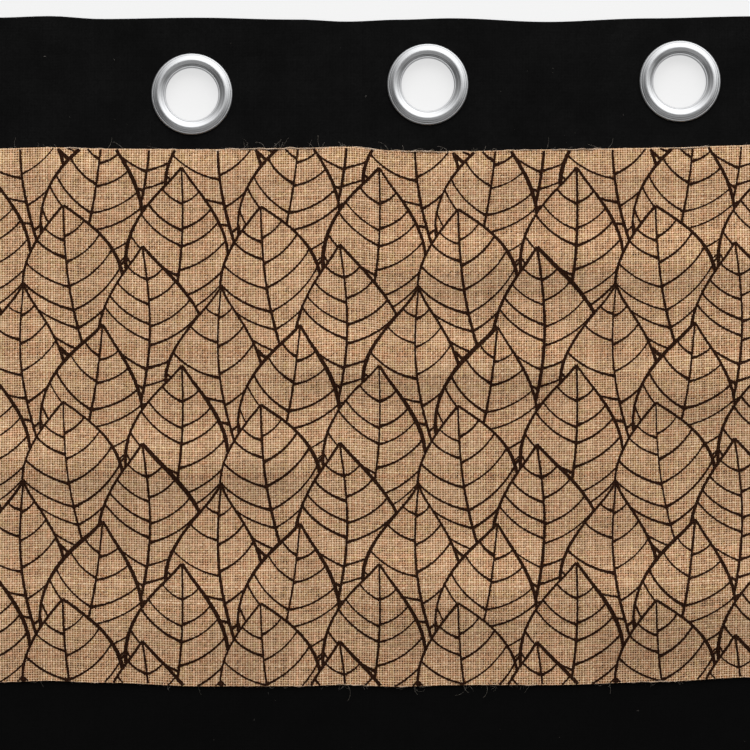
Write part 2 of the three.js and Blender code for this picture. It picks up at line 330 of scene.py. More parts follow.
class MeshParts:
    """Collects points and faces of many small shapes, and makes one object of them."""

    def __init__(self) -> None:
        """Starts with nothing collected."""
        self.points: list[np.ndarray] = []
        self.faces: list[np.ndarray] = []
        self.places: list[np.ndarray] = []
        self.count = 0

    def add(self, points: np.ndarray, faces: np.ndarray, places: np.ndarray) -> None:
        """Adds one shape.

        Args:
            points: Its points, in millimetres.
            faces: Its faces of four corners each, as indices into its points.
            places: Each point's place on the material's flat map, in millimetres.
        """
        self.points.append(points)
        self.faces.append(faces + self.count)
        self.places.append(places)
        self.count += len(points)

    def make(self, name: str, material: bpy.types.Material, sharp: float | None = None) -> bpy.types.Object:
        """Makes the object.

        Args:
            name: The object's name.
            material: The material that it wears.
            sharp: The angle in degrees from which an edge stays sharp, or None for none.

        Returns:
            The object, linked to the scene.
        """
        points = np.concatenate(self.points)
        faces = np.concatenate(self.faces).astype(np.int32)
        places = np.concatenate(self.places)
        mesh = bpy.data.meshes.new(name)
        mesh.vertices.add(len(points))
        mesh.vertices.foreach_set("co", (points * MM).ravel())
        mesh.loops.add(faces.size)
        mesh.loops.foreach_set("vertex_index", faces.ravel())
        mesh.polygons.add(len(faces))
        mesh.polygons.foreach_set("loop_start", np.arange(len(faces), dtype=np.int32) * faces.shape[1])
        mesh.update(calc_edges=True)
        layer = mesh.uv_layers.new(name=FLAT_MAP)
        layer.uv.foreach_set("vector", (places[faces.ravel()] * MM).ravel())
        mesh.validate()
        mesh.shade_smooth()
        if sharp is not None:
            mesh.set_sharp_from_angle(angle=math.radians(sharp))
        mesh.materials.append(material)
        piece = bpy.data.objects.new(name, mesh)
        bpy.context.scene.collection.objects.link(piece)
        return piece


def sweep(path: np.ndarray, radii: np.ndarray, sides: int) -> tuple[np.ndarray, np.ndarray, np.ndarray]:
    """Sweeps a round section along a path and closes its ends.

    Args:
        path: The points along the middle.
        radii: The section's radius at each of those points.
        sides: How many sides the section has.

    Returns:
        The points, the four-cornered faces, and each point's length along and round.
    """
    ahead = np.gradient(path, axis=0)
    ahead /= np.linalg.norm(ahead, axis=1, keepdims=True)
    reference = np.array([0.0, 1.0, 0.0]) if abs(ahead[0][1]) < 0.8 else np.array([1.0, 0.0, 0.0])
    side = np.cross(ahead, reference)
    side /= np.linalg.norm(side, axis=1, keepdims=True)
    up = np.cross(side, ahead)
    turn = np.arange(sides) * 2.0 * np.pi / sides
    ring = np.cos(turn)[None, :, None] * side[:, None, :] + np.sin(turn)[None, :, None] * up[:, None, :]
    points = (path[:, None, :] + ring * radii[:, None, None]).reshape(-1, 3)
    along = np.concatenate([[0.0], np.cumsum(np.linalg.norm(np.diff(path, axis=0), axis=1))])
    places = np.stack(np.broadcast_arrays(along[:, None], (turn * radii.max())[None, :]), axis=-1)
    row, corner = np.meshgrid(np.arange(len(path) - 1), np.arange(sides), indexing="ij")
    after = (corner + 1) % sides
    a = row * sides + corner
    b = row * sides + after
    faces = np.stack([a, b, b + sides, a + sides], axis=-1).reshape(-1, 4)
    return points, faces, places.reshape(-1, 2)


def srgb(colour: str) -> tuple[float, float, float, float]:
    """Turns an sRGB hex colour, such as '#A98563', to linear red, green, blue and alpha."""
    parts = [int(colour[i : i + 2], 16) / 255.0 for i in (1, 3, 5)]
    linear = [c / 12.92 if c <= 0.04045 else ((c + 0.055) / 1.055) ** 2.4 for c in parts]
    return (*linear, 1.0)


Feed = bpy.types.NodeSocket | float | tuple


class NodeTree:
    """The node tree of one material or world, which starts out empty."""

    def __init__(self, owner: bpy.types.Material | bpy.types.World) -> None:
        """Clears the owner's tree and keeps it.

        Args:
            owner: The material or world.
        """
        owner.use_nodes = True
        self.tree = owner.node_tree
        self.tree.nodes.clear()

    def add(self, kind: str, feeds: dict[int | str, Feed] | None = None, out: int | str = 0, **settings):
        """Adds a node with its settings and links.

        Args:
            kind: The node's type, without the words ShaderNode.
            feeds: What each input gets: another node's output, or a value.
            out: Which of its outputs is wanted.
            **settings: The node's own properties.

        Returns:
            The wanted output, or None for a node that has none.
        """
        node = self.tree.nodes.new("ShaderNode" + kind)
        for name, value in settings.items():
            setattr(node, name, value)
        for name, value in (feeds or {}).items():
            if isinstance(value, bpy.types.NodeSocket):
                self.tree.links.new(value, node.inputs[name])
            else:
                node.inputs[name].default_value = value
        return node.outputs[out] if node.outputs else None

    def ramp(self, share: bpy.types.NodeSocket, stops: Sequence[tuple[float, str]]) -> bpy.types.NodeSocket:
        """Adds a colour ramp.

        Args:
            share: What picks the colour.
            stops: Each stop's place from 0 to 1, and its sRGB hex colour.

        Returns:
            The colour.
        """
        colour = self.add("ValToRGB", {"Fac": share})
        elements = colour.node.color_ramp.elements
        while len(elements) < len(stops):
            elements.new(0.5)
        for element, (place, value) in zip(elements, stops):
            element.position = place
            element.color = srgb(value)
        return colour


@dataclass(frozen=True)
class PlainWeave:
    """A plain weave drawn from its thread spacing, in millimetres.

    Threads wander, swell and thin along their length, and pass over and under by turns. Hairs
    fill each gap up to a height of its own, and each crossing has a tone of its own.
    """

    across: float
    down: float
    half_width: float
    width_spread: float
    wander: float
    hair: float
    mottle: float

    def draw(self, tree: NodeTree) -> tuple[bpy.types.NodeSocket, bpy.types.NodeSocket, bpy.types.NodeSocket]:
        """Adds the weave's nodes to a tree.

        Args:
            tree: The tree to add to.

        Returns:
            The height from 0 in the gaps to about 2 on the crests, the tone of the thread that
            lies on top from 0 to 1, and that thread's hue from 0 to 1.
        """
        flat = tree.add("UVMap", uv_map=FLAT_MAP)
        stretched_down = tree.add("VectorMath", {0: flat, 1: (210.0, 16.0, 0.0)}, operation="MULTIPLY")
        stretched_across = tree.add("VectorMath", {0: flat, 1: (16.0, 210.0, 7.0)}, operation="MULTIPLY")
        warp_wander = tree.add("TexNoise", {"Vector": stretched_down, "Scale": 1.0, "Detail": 1.0})
        weft_wander = tree.add("TexNoise", {"Vector": stretched_across, "Scale": 1.0, "Detail": 1.0})
        wander = tree.add("CombineXYZ", {0: warp_wander, 1: weft_wander, 2: 0.5})
        wander = tree.add("VectorMath", {0: wander, 1: (0.5, 0.5, 0.5)}, operation="SUBTRACT")
        wander = tree.add("VectorMath", {0: wander, "Scale": self.wander}, operation="SCALE")
        counts = (1.0 / (self.across * MM), 1.0 / (self.down * MM), 0.0)
        threads = tree.add("VectorMath", {0: flat, 1: counts, 2: wander}, operation="MULTIPLY_ADD")
        cell = tree.add("VectorMath", {0: threads}, operation="FLOOR")
        inside = tree.add("VectorMath", {0: threads}, operation="FRACTION")
        inside = tree.add("VectorMath", {0: inside, 1: (0.5, 0.5, 0.0)}, operation="SUBTRACT")
        fu = tree.add("SeparateXYZ", {0: inside})
        fv = fu.node.outputs[1]
        warp_number = tree.add("SeparateXYZ", {0: cell})
        weft_number = warp_number.node.outputs[1]
        both = tree.add("Math", {0: warp_number, 1: weft_number}, operation="ADD")
        odd = tree.add("Math", {0: both, 1: 2.0}, operation="FLOORED_MODULO")
        over = tree.add("Math", {0: odd, 1: -2.0, 2: 1.0}, operation="MULTIPLY_ADD")
        warp = self.thread(tree, flat, warp_number, 0.0, (0.0, 330.0, 0.0), fu, fv, over)
        under = tree.add("Math", {0: over, 1: -1.0}, operation="MULTIPLY")
        weft = self.thread(tree, flat, weft_number, 811.5, (330.0, 0.0, 0.0), fv, fu, under)
        height = tree.add("Math", {0: warp[0], 1: weft[0]}, operation="MAXIMUM")
        is_warp = tree.add("Math", {0: warp[0], 1: weft[0]}, operation="GREATER_THAN")
        tone = tree.add("Mix", {0: is_warp, 2: weft[1], 3: warp[1]})
        hue = tree.add("Mix", {0: is_warp, 2: weft[2], 3: warp[2]})
        crossing = tree.add("TexWhiteNoise", {"Vector": cell}, out="Color", noise_dimensions="2D")
        own_tone = tree.add("SeparateXYZ", {0: crossing})
        own_hue = own_tone.node.outputs[1]
        tone = tree.add("Mix", {0: self.mottle, 2: tone, 3: own_tone})
        hue = tree.add("Mix", {0: self.mottle, 2: hue, 3: own_hue})
        gap = tree.add("VectorMath", {0: threads, 1: (0.5, 0.5, 0.0)}, operation="ADD")
        gap = tree.add("VectorMath", {0: gap}, operation="FLOOR")
        hairs = tree.add("TexWhiteNoise", {"Vector": gap}, noise_dimensions="2D")
        hairs = tree.add("Math", {0: hairs, 1: self.hair}, operation="MULTIPLY")
        height = tree.add("Math", {0: height, 1: hairs}, operation="MAXIMUM")
        return height, tone, hue

    def thread(
        self,
        tree: NodeTree,
        flat: bpy.types.NodeSocket,
        number: bpy.types.NodeSocket,
        seed: float,
        along: tuple[float, float, float],
        off_middle: bpy.types.NodeSocket,
        off_crossing: bpy.types.NodeSocket,
        over: bpy.types.NodeSocket,
    ) -> tuple[bpy.types.NodeSocket, bpy.types.NodeSocket, bpy.types.NodeSocket]:
        """Adds the nodes of one of the two sets of threads.

        Args:
            tree: The tree to add to.
            flat: The place on the flat cloth, in metres.
            number: The thread's number.
            seed: Keeps the two sets apart.
            along: Scales the flat place so that it only changes along the thread.
            off_middle: How far off the thread's middle the point is, in thread spacings.
            off_crossing: How far off the crossing's middle the point is, in thread spacings.
            over: 1 where this thread passes over, and -1 where it passes under.

        Returns:
            The thread's height, tone and hue.
        """
        seeded = tree.add("Math", {0: number, 1: seed}, operation="ADD")
        chance = tree.add("TexWhiteNoise", {"W": seeded}, out="Color", noise_dimensions="1D")
        chance_width = tree.add("SeparateXYZ", {0: chance})
        chance_tone = chance_width.node.outputs[1]
        chance_hue = chance_width.node.outputs[2]
        place = tree.add("VectorMath", {0: flat, 1: along}, operation="MULTIPLY")
        thread_shift = tree.add("Math", {0: seeded, 1: 3.77}, operation="MULTIPLY")
        shift = tree.add("CombineXYZ", {0: thread_shift, 1: thread_shift, 2: seed})
        place = tree.add("VectorMath", {0: place, 1: shift}, operation="ADD")
        slub = tree.add("TexNoise", {"Vector": place, "Scale": 1.0, "Detail": 2.0, "Roughness": 0.6})
        swell = tree.add("Math", {0: slub, 1: chance_width}, operation="ADD")
        swell = tree.add("Math", {0: swell, 1: 1.0}, operation="SUBTRACT")
        half = tree.add(
            "Math", {0: swell, 1: self.width_spread, 2: self.half_width}, operation="MULTIPLY_ADD"
        )
        share = tree.add("Math", {0: off_middle, 1: half}, operation="DIVIDE")
        squared = tree.add("Math", {0: share, 1: share}, operation="MULTIPLY")
        round_height = tree.add("Math", {0: 1.0, 1: squared}, operation="SUBTRACT", use_clamp=True)
        round_height = tree.add("Math", {0: round_height}, operation="SQRT")
        angle = tree.add("Math", {0: off_crossing, 1: math.pi}, operation="MULTIPLY")
        climb = tree.add("Math", {0: angle}, operation="COSINE")
        climb = tree.add("Math", {0: climb, 1: over}, operation="MULTIPLY")
        climb = tree.add("Math", {0: climb, 1: 0.5, 2: 1.0}, operation="MULTIPLY_ADD")
        height = tree.add("Math", {0: climb, 1: round_height}, operation="MULTIPLY")
        tone = tree.add("Mix", {0: 0.28, 2: slub, 3: chance_tone})
        return height, tone, chance_hue


JUTE_WEAVE = PlainWeave(
    across=1.86, down=1.72, half_width=0.285, width_spread=0.20, wander=0.7, hair=0.55, mottle=0.3
)
# Cotton of this weight has a thread every 0.4 mm: it is drawn at 1.1 mm, so that it shows.
COTTON_WEAVE = PlainWeave(
    across=1.1, down=1.1, half_width=0.46, width_spread=0.06, wander=0.5, hair=0.0, mottle=0.3
)


def new_material(name: str) -> tuple[bpy.types.Material, NodeTree]:
    """Returns a new material of that name, and its empty tree."""
    material = bpy.data.materials.new(name)
    return material, NodeTree(material)


@dataclass(frozen=True)
class PrintedJuteGround:
    """Undyed jute yarn, plain woven and open: matte, hairy, with dark gaps between the threads. Its colour is
    painted darker the deeper the weave lies, as shade: down the threads' sides and dips, and to nearly black in the
    gaps, where shaded jute and the black cloth behind show.
    """

    # The gap, side and dip colours are painted shade: the gaps, the threads' sides and the dips between crossings,
    # darker than the crowns.
    gap: str = "#1A0C04"
    side: str = "#976734"
    shaded_dip: str = "#E0BF9B"
    crown: str = "#ECD0B2"
    dull: str = "#CDC2B6"
    reddish: str = "#FBE5DC"
    greenish: str = "#F8F8E4"
    roughness: float = 0.9

    def make(self) -> bpy.types.Material:
        """Makes the material."""
        material, tree = new_material("woven_jute")
        height, tone, hue = JUTE_WEAVE.draw(tree)
        # Painted shade: the yarn's colour follows the weave's height, darkest in the gaps and lightest on the
        # crowns.
        risen = tree.add("Math", {0: height, 1: 1.0 / 1.5}, operation="MULTIPLY")
        yarn = tree.ramp(risen, ((0.0, self.gap), (0.3, self.side), (0.66, self.shaded_dip), (0.95, self.crown)))
        tint = tree.ramp(tone, ((0.2, self.dull), (0.7, "#FFFFFF")))
        flat = tree.add("UVMap", uv_map=FLAT_MAP)
        drift = tree.add("TexNoise", {"Vector": flat, "Scale": 240.0, "Detail": 2.0})
        drift = tree.add("Math", {0: drift, 1: hue}, operation="ADD")
        shade = tree.ramp(
            tree.add("Math", {0: drift, 1: 0.5}, operation="MULTIPLY"),
            ((0.25, self.greenish), (0.45, "#FFFFFF"), (0.75, self.reddish)),
        )
        tint = tree.add("VectorMath", {0: tint, 1: shade}, operation="MULTIPLY")
        patches = tree.add("TexNoise", {"Vector": flat, "Scale": 14.0, "Detail": 4.0, "Roughness": 0.6})
        patches = tree.add("MapRange", {0: patches, 1: 0.3, 2: 0.7, 3: 0.85, 4: 1.04})
        tint = tree.add("VectorMath", {0: tint, "Scale": patches}, operation="SCALE")
        colour = tree.add("VectorMath", {0: yarn, 1: tint}, operation="MULTIPLY")
        bump = tree.add("Bump", {"Strength": 0.45, "Distance": 0.35 * MM, "Height": height})
        surface = tree.add(
            "BsdfPrincipled",
            {
                "Base Color": colour,
                "Roughness": self.roughness,
                "Specular IOR Level": 0.2,
                "Sheen Weight": 0.06,
                "Sheen Roughness": 0.6,
                "Normal": bump,
            },
        )
        tree.add("OutputMaterial", {"Surface": surface})
        return material


@dataclass(frozen=True)
class LeafPrintInk:
    """Near-black pigment paste, screen printed: it soaks the yarn, so the weave still shows."""

    ink: str = "#1B0B04"
    paler_on_crowns: str = "#4C3120"
    roughness: float = 0.85

    def make(self) -> bpy.types.Material:
        """Makes the material."""
        material, tree = new_material("printed_ink")
        height, tone, _ = JUTE_WEAVE.draw(tree)
        # The ink is paler on the highest thread crowns, more on some threads than on others.
        crown = tree.add("MapRange", {0: height, 1: 0.6, 2: 1.6, 3: 0.0, 4: 1.0})
        paler_on_crowns = tree.add("Math", {0: crown, 1: tone}, operation="MULTIPLY")
        colour = tree.add(
            "Mix", {0: paler_on_crowns, 6: srgb(self.ink), 7: srgb(self.paler_on_crowns)}, out=2, data_type="RGBA"
        )
        bump = tree.add("Bump", {"Strength": 0.6, "Distance": 0.3 * MM, "Height": height})
        surface = tree.add(
            "BsdfPrincipled",
            {
                "Base Color": colour,
                "Roughness": self.roughness,
                "Specular IOR Level": 0.06,
                "Normal": bump,
            },
        )
        tree.add("OutputMaterial", {"Surface": surface})
        return material


@dataclass(frozen=True)
class JuteYarn:
    """Single jute yarn, loosely spun: pale and matte, with its twist showing, painted darker in the twist's grooves
    as shade.
    """

    pale: str = "#C6B09C"
    deep: str = "#84694F"
    twist_spacing: float = 1.3

    def make(self) -> bpy.types.Material:
        """Makes the material."""
        material, tree = new_material("jute_yarn")
        flat = tree.add("UVMap", uv_map=FLAT_MAP)
        parts = tree.add("SeparateXYZ", {0: flat})
        lean = tree.add("Math", {0: parts, 1: parts.node.outputs[1]}, operation="ADD")
        turns = tree.add("Math", {0: lean, 1: 2.0 * math.pi / (self.twist_spacing * MM)}, operation="MULTIPLY")
        strands = tree.add("Math", {0: turns}, operation="SINE")
        drift = tree.add("TexNoise", {"Vector": flat, "Scale": 160.0, "Detail": 3.0})
        # Painted shade: the colour is darker in the twist's grooves, over a random drift in tone.
        share = tree.add("Math", {0: strands, 1: 0.2, 2: drift}, operation="MULTIPLY_ADD")
        colour = tree.ramp(share, ((0.25, self.deep), (0.7, self.pale)))
        bump = tree.add("Bump", {"Strength": 0.5, "Distance": 0.15 * MM, "Height": strands})
        surface = tree.add(
            "BsdfPrincipled",
            {"Base Color": colour, "Roughness": 0.85, "Specular IOR Level": 0.2, "Normal": bump},
        )
        tree.add("OutputMaterial", {"Surface": surface})
        return material


@dataclass(frozen=True)
class LooseFibre:
    """Single jute fibres, greyed by handling: thin and matte."""

    pale: str = "#8C857C"
    dull: str = "#4C4741"

    def make(self) -> bpy.types.Material:
        """Makes the material."""
        material, tree = new_material("loose_jute_fibre")
        flat = tree.add("UVMap", uv_map=FLAT_MAP)
        drift = tree.add("TexNoise", {"Vector": flat, "Scale": 400.0, "Detail": 1.0})
        colour = tree.ramp(drift, ((0.35, self.dull), (0.65, self.pale)))
        surface = tree.add("BsdfPrincipled", {"Base Color": colour, "Roughness": 0.9, "Specular IOR Level": 0.2})
        tree.add("OutputMaterial", {"Surface": surface})
        return material


@dataclass(frozen=True)
class BlackCotton:
    """Vat-dyed cotton, plain woven: deep black and matte, with a faint grey bloom of loose fibre.

    The bloom is painted strongest at the top of the cloth and weaker down it, as light that falls off down the
    cloth.
    """

    black: str = "#030303"
    bloom: str = "#161616"
    roughness: float = 0.93

    def make(self) -> bpy.types.Material:
        """Makes the material."""
        material, tree = new_material("woven_cotton")
        height, tone, _ = COTTON_WEAVE.draw(tree)
        flat = tree.add("UVMap", uv_map=FLAT_MAP)
        cloudy = tree.add("TexNoise", {"Vector": flat, "Scale": 26.0, "Detail": 5.0, "Roughness": 0.62})
        cloudy = tree.add("MapRange", {0: cloudy, 1: 0.3, 2: 0.7, 3: 0.25, 4: 0.8})
        # Painted light: the bloom is strongest at the top of the cloth and fades down it, as the light falls off.
        painted_falloff = tree.add("SeparateXYZ", {0: flat}).node.outputs[1]
        painted_falloff = tree.add("MapRange", {0: painted_falloff, 1: -0.5, 2: -0.1, 3: 0.25, 4: 1.0})
        share = tree.add("Math", {0: cloudy, 1: painted_falloff}, operation="MULTIPLY")
        share = tree.add("Math", {0: share, 1: tone}, operation="MULTIPLY")
        colour = tree.add(
            "Mix", {0: share, 6: srgb(self.black), 7: srgb(self.bloom)}, out=2, data_type="RGBA"
        )
        bump = tree.add("Bump", {"Strength": 0.5, "Distance": 0.12 * MM, "Height": height})
        surface = tree.add(
            "BsdfPrincipled",
            {
                "Base Color": colour,
                "Roughness": self.roughness,
                "Specular IOR Level": 0.06,
                "Sheen Weight": 0.02,
                "Sheen Roughness": 0.5,
                "Normal": bump,
            },
        )
        tree.add("OutputMaterial", {"Surface": surface})
        return material


@dataclass(frozen=True)
class BlackThread:
    """Spun polyester sewing thread: black, a little glossier than the cotton."""

    black: str = "#101011"
    lit: str = "#1E1E20"

    def make(self) -> bpy.types.Material:
        """Makes the material."""
        material, tree = new_material("sewing_thread")
        flat = tree.add("UVMap", uv_map=FLAT_MAP)
        drift = tree.add("TexNoise", {"Vector": flat, "Scale": 900.0, "Detail": 2.0})
        colour = tree.ramp(drift, ((0.3, self.black), (0.7, self.lit)))
        surface = tree.add(
            "BsdfPrincipled", {"Base Color": colour, "Roughness": 0.6, "Specular IOR Level": 0.3}
        )
        tree.add("OutputMaterial", {"Surface": surface})
        return material


@dataclass(frozen=True)
class CottonLint:
    """Loose cotton fibre caught on the cloth: pale and matte."""

    pale: str = "#8C8781"
    dull: str = "#4A4744"

    def make(self) -> bpy.types.Material:
        """Makes the material."""
        material, tree = new_material("cotton_lint")
        flat = tree.add("UVMap", uv_map=FLAT_MAP)
        drift = tree.add("TexNoise", {"Vector": flat, "Scale": 60.0, "Detail": 1.0})
        colour = tree.ramp(drift, ((0.35, self.dull), (0.65, self.pale)))
        surface = tree.add("BsdfPrincipled", {"Base Color": colour, "Roughness": 0.95})
        tree.add("OutputMaterial", {"Surface": surface})
        return material


@dataclass(frozen=True)
class ChromePlate:
    """Bright nickel-chrome plating on pressed and turned steel: mirror-like, with fine turned lines."""

    plate: str = "#D6D7D8"
    tarnish: str = "#BFC0C2"
    roughness: float = 0.3

    def make(self) -> bpy.types.Material:
        """Makes the material."""
        material, tree = new_material("chrome_plate")
        flat = tree.add("UVMap", uv_map=FLAT_MAP)
        stretched = tree.add("VectorMath", {0: flat, 1: (9.0, 1500.0, 0.0)}, operation="MULTIPLY")
        lines = tree.add("TexNoise", {"Vector": stretched, "Scale": 1.0, "Detail": 3.0})
        colour = tree.ramp(lines, ((0.3, self.tarnish), (0.65, self.plate)))
        rough = tree.add("MapRange", {0: lines, 1: 0.3, 2: 0.7, 3: self.roughness - 0.04, 4: self.roughness + 0.05})
        bump = tree.add("Bump", {"Strength": 0.06, "Distance": 0.05 * MM, "Height": lines})
        surface = tree.add(
            "BsdfPrincipled",
            {"Base Color": colour, "Metallic": 1.0, "Roughness": rough, "Normal": bump},
        )
        tree.add("OutputMaterial", {"Surface": surface})
        return material


@dataclass(frozen=True)
class Finishes:
    """One material of each finish, shared by the pieces that wear it."""

    cotton: bpy.types.Material = field(default_factory=lambda: BlackCotton().make())
    jute: bpy.types.Material = field(default_factory=lambda: PrintedJuteGround().make())
    ink: bpy.types.Material = field(default_factory=lambda: LeafPrintInk().make())
    yarn: bpy.types.Material = field(default_factory=lambda: JuteYarn().make())
    fibre: bpy.types.Material = field(default_factory=lambda: LooseFibre().make())
    thread: bpy.types.Material = field(default_factory=lambda: BlackThread().make())
    lint: bpy.types.Material = field(default_factory=lambda: CottonLint().make())
    chrome: bpy.types.Material = field(default_factory=lambda: ChromePlate().make())


class Slot(Enum):
    """The record's material slots."""

    COTTON = "black_cotton"
    JUTE = "printed_jute"
    CHROME = "eyelet_chrome"


def place(piece: bpy.types.Object, slot: Slot, replaced: Iterable[str] = ()) -> bpy.types.Object:
    """Hangs a piece on the curtain's body.

    Args:
        piece: The finished piece.
        slot: The record's slot for the piece's finish; it is not used.
        replaced: The nodes that it stands for.

    Returns:
        The same piece.
    """
    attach(piece, BODY)
    names = tuple(replaced)
    if names:
        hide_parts(*names)
    log.info("%s: %d faces", piece.name, len(piece.data.polygons))
    return piece


@dataclass
class FlatLayout:
    """Points and faces of a cloth while it lies flat, before it is hung."""

    flat: np.ndarray
    quads: np.ndarray

    @staticmethod
    def grid(columns: np.ndarray, rows: np.ndarray) -> "FlatLayout":
        """Lays out a grid.

        Args:
            columns: Places across, from left to right.
            rows: Drops, from the top down.

        Returns:
            The layout, with its faces turned to the front.
        """
        x, drop = np.meshgrid(columns, rows)
        flat = np.stack([x, drop], axis=-1).reshape(-1, 2)
        row, column = np.meshgrid(np.arange(len(rows) - 1), np.arange(len(columns) - 1), indexing="ij")
        corner = row * len(columns) + column
        below = corner + len(columns)
        quads = np.stack([corner, below, below + 1, corner + 1], axis=-1).reshape(-1, 4)
        return FlatLayout(flat, quads)

    def rim_edges(self) -> np.ndarray:
        """Returns the edges that only one face has, in that face's order."""
        edges = np.concatenate([self.quads[:, [i, (i + 1) % 4]] for i in range(4)])
        key = edges.min(axis=1) * len(self.flat) + edges.max(axis=1)
        _, first, uses = np.unique(key, return_index=True, return_counts=True)
        return edges[first[uses == 1]]


def closed_sheet(
    layout: FlatLayout,
    outward: np.ndarray,
    front: Callable[[np.ndarray, np.ndarray], np.ndarray],
    back: Callable[[np.ndarray, np.ndarray], np.ndarray],
) -> MeshParts:
    """Hangs a flat layout as a closed sheet with rounded edges.

    Args:
        layout: The flat cloth.
        outward: How far each flat point's edge bulges out, across and down.
        front: Gives the front face's depth behind the cloth's middle surface.
        back: Gives the back face's depth.

    Returns:
        The sheet's points and faces.
    """
    x, drop = layout.flat.T
    front_depth = front(x, drop)
    back_depth = back(x, drop)
    middle_x, middle_drop = (layout.flat + outward).T
    count = len(layout.flat)
    rim = layout.rim_edges()
    used = np.unique(rim)
    middle_index = np.zeros(count, int)
    middle_index[used] = np.arange(len(used))
    points = np.concatenate(
        [
            CLOTH.point(x, drop, front_depth),
            CLOTH.point(x, drop, back_depth),
            CLOTH.point(middle_x, middle_drop, 0.5 * (front_depth + back_depth))[used],
        ]
    )
    start, end = rim.T
    middle_start = 2 * count + middle_index[start]
    middle_end = 2 * count + middle_index[end]
    faces = np.concatenate(
        [
            layout.quads,
            layout.quads[:, ::-1] + count,
            np.stack([end, start, middle_start, middle_end], axis=-1),
            np.stack([middle_end, middle_start, start + count, end + count], axis=-1),
        ]
    )
    hung = layout.flat * (1.0, -1.0)
    parts = MeshParts()
    parts.add(points, faces, np.concatenate([hung, hung, hung[used]]))
    return parts


def edge_bulge(flat: np.ndarray, bulge: float) -> np.ndarray:
    """Returns how far each point bulges out, which is nothing but on the four outer edges."""
    low, high = flat.min(axis=0), flat.max(axis=0)
    return bulge * ((flat == high).astype(float) - (flat == low).astype(float))


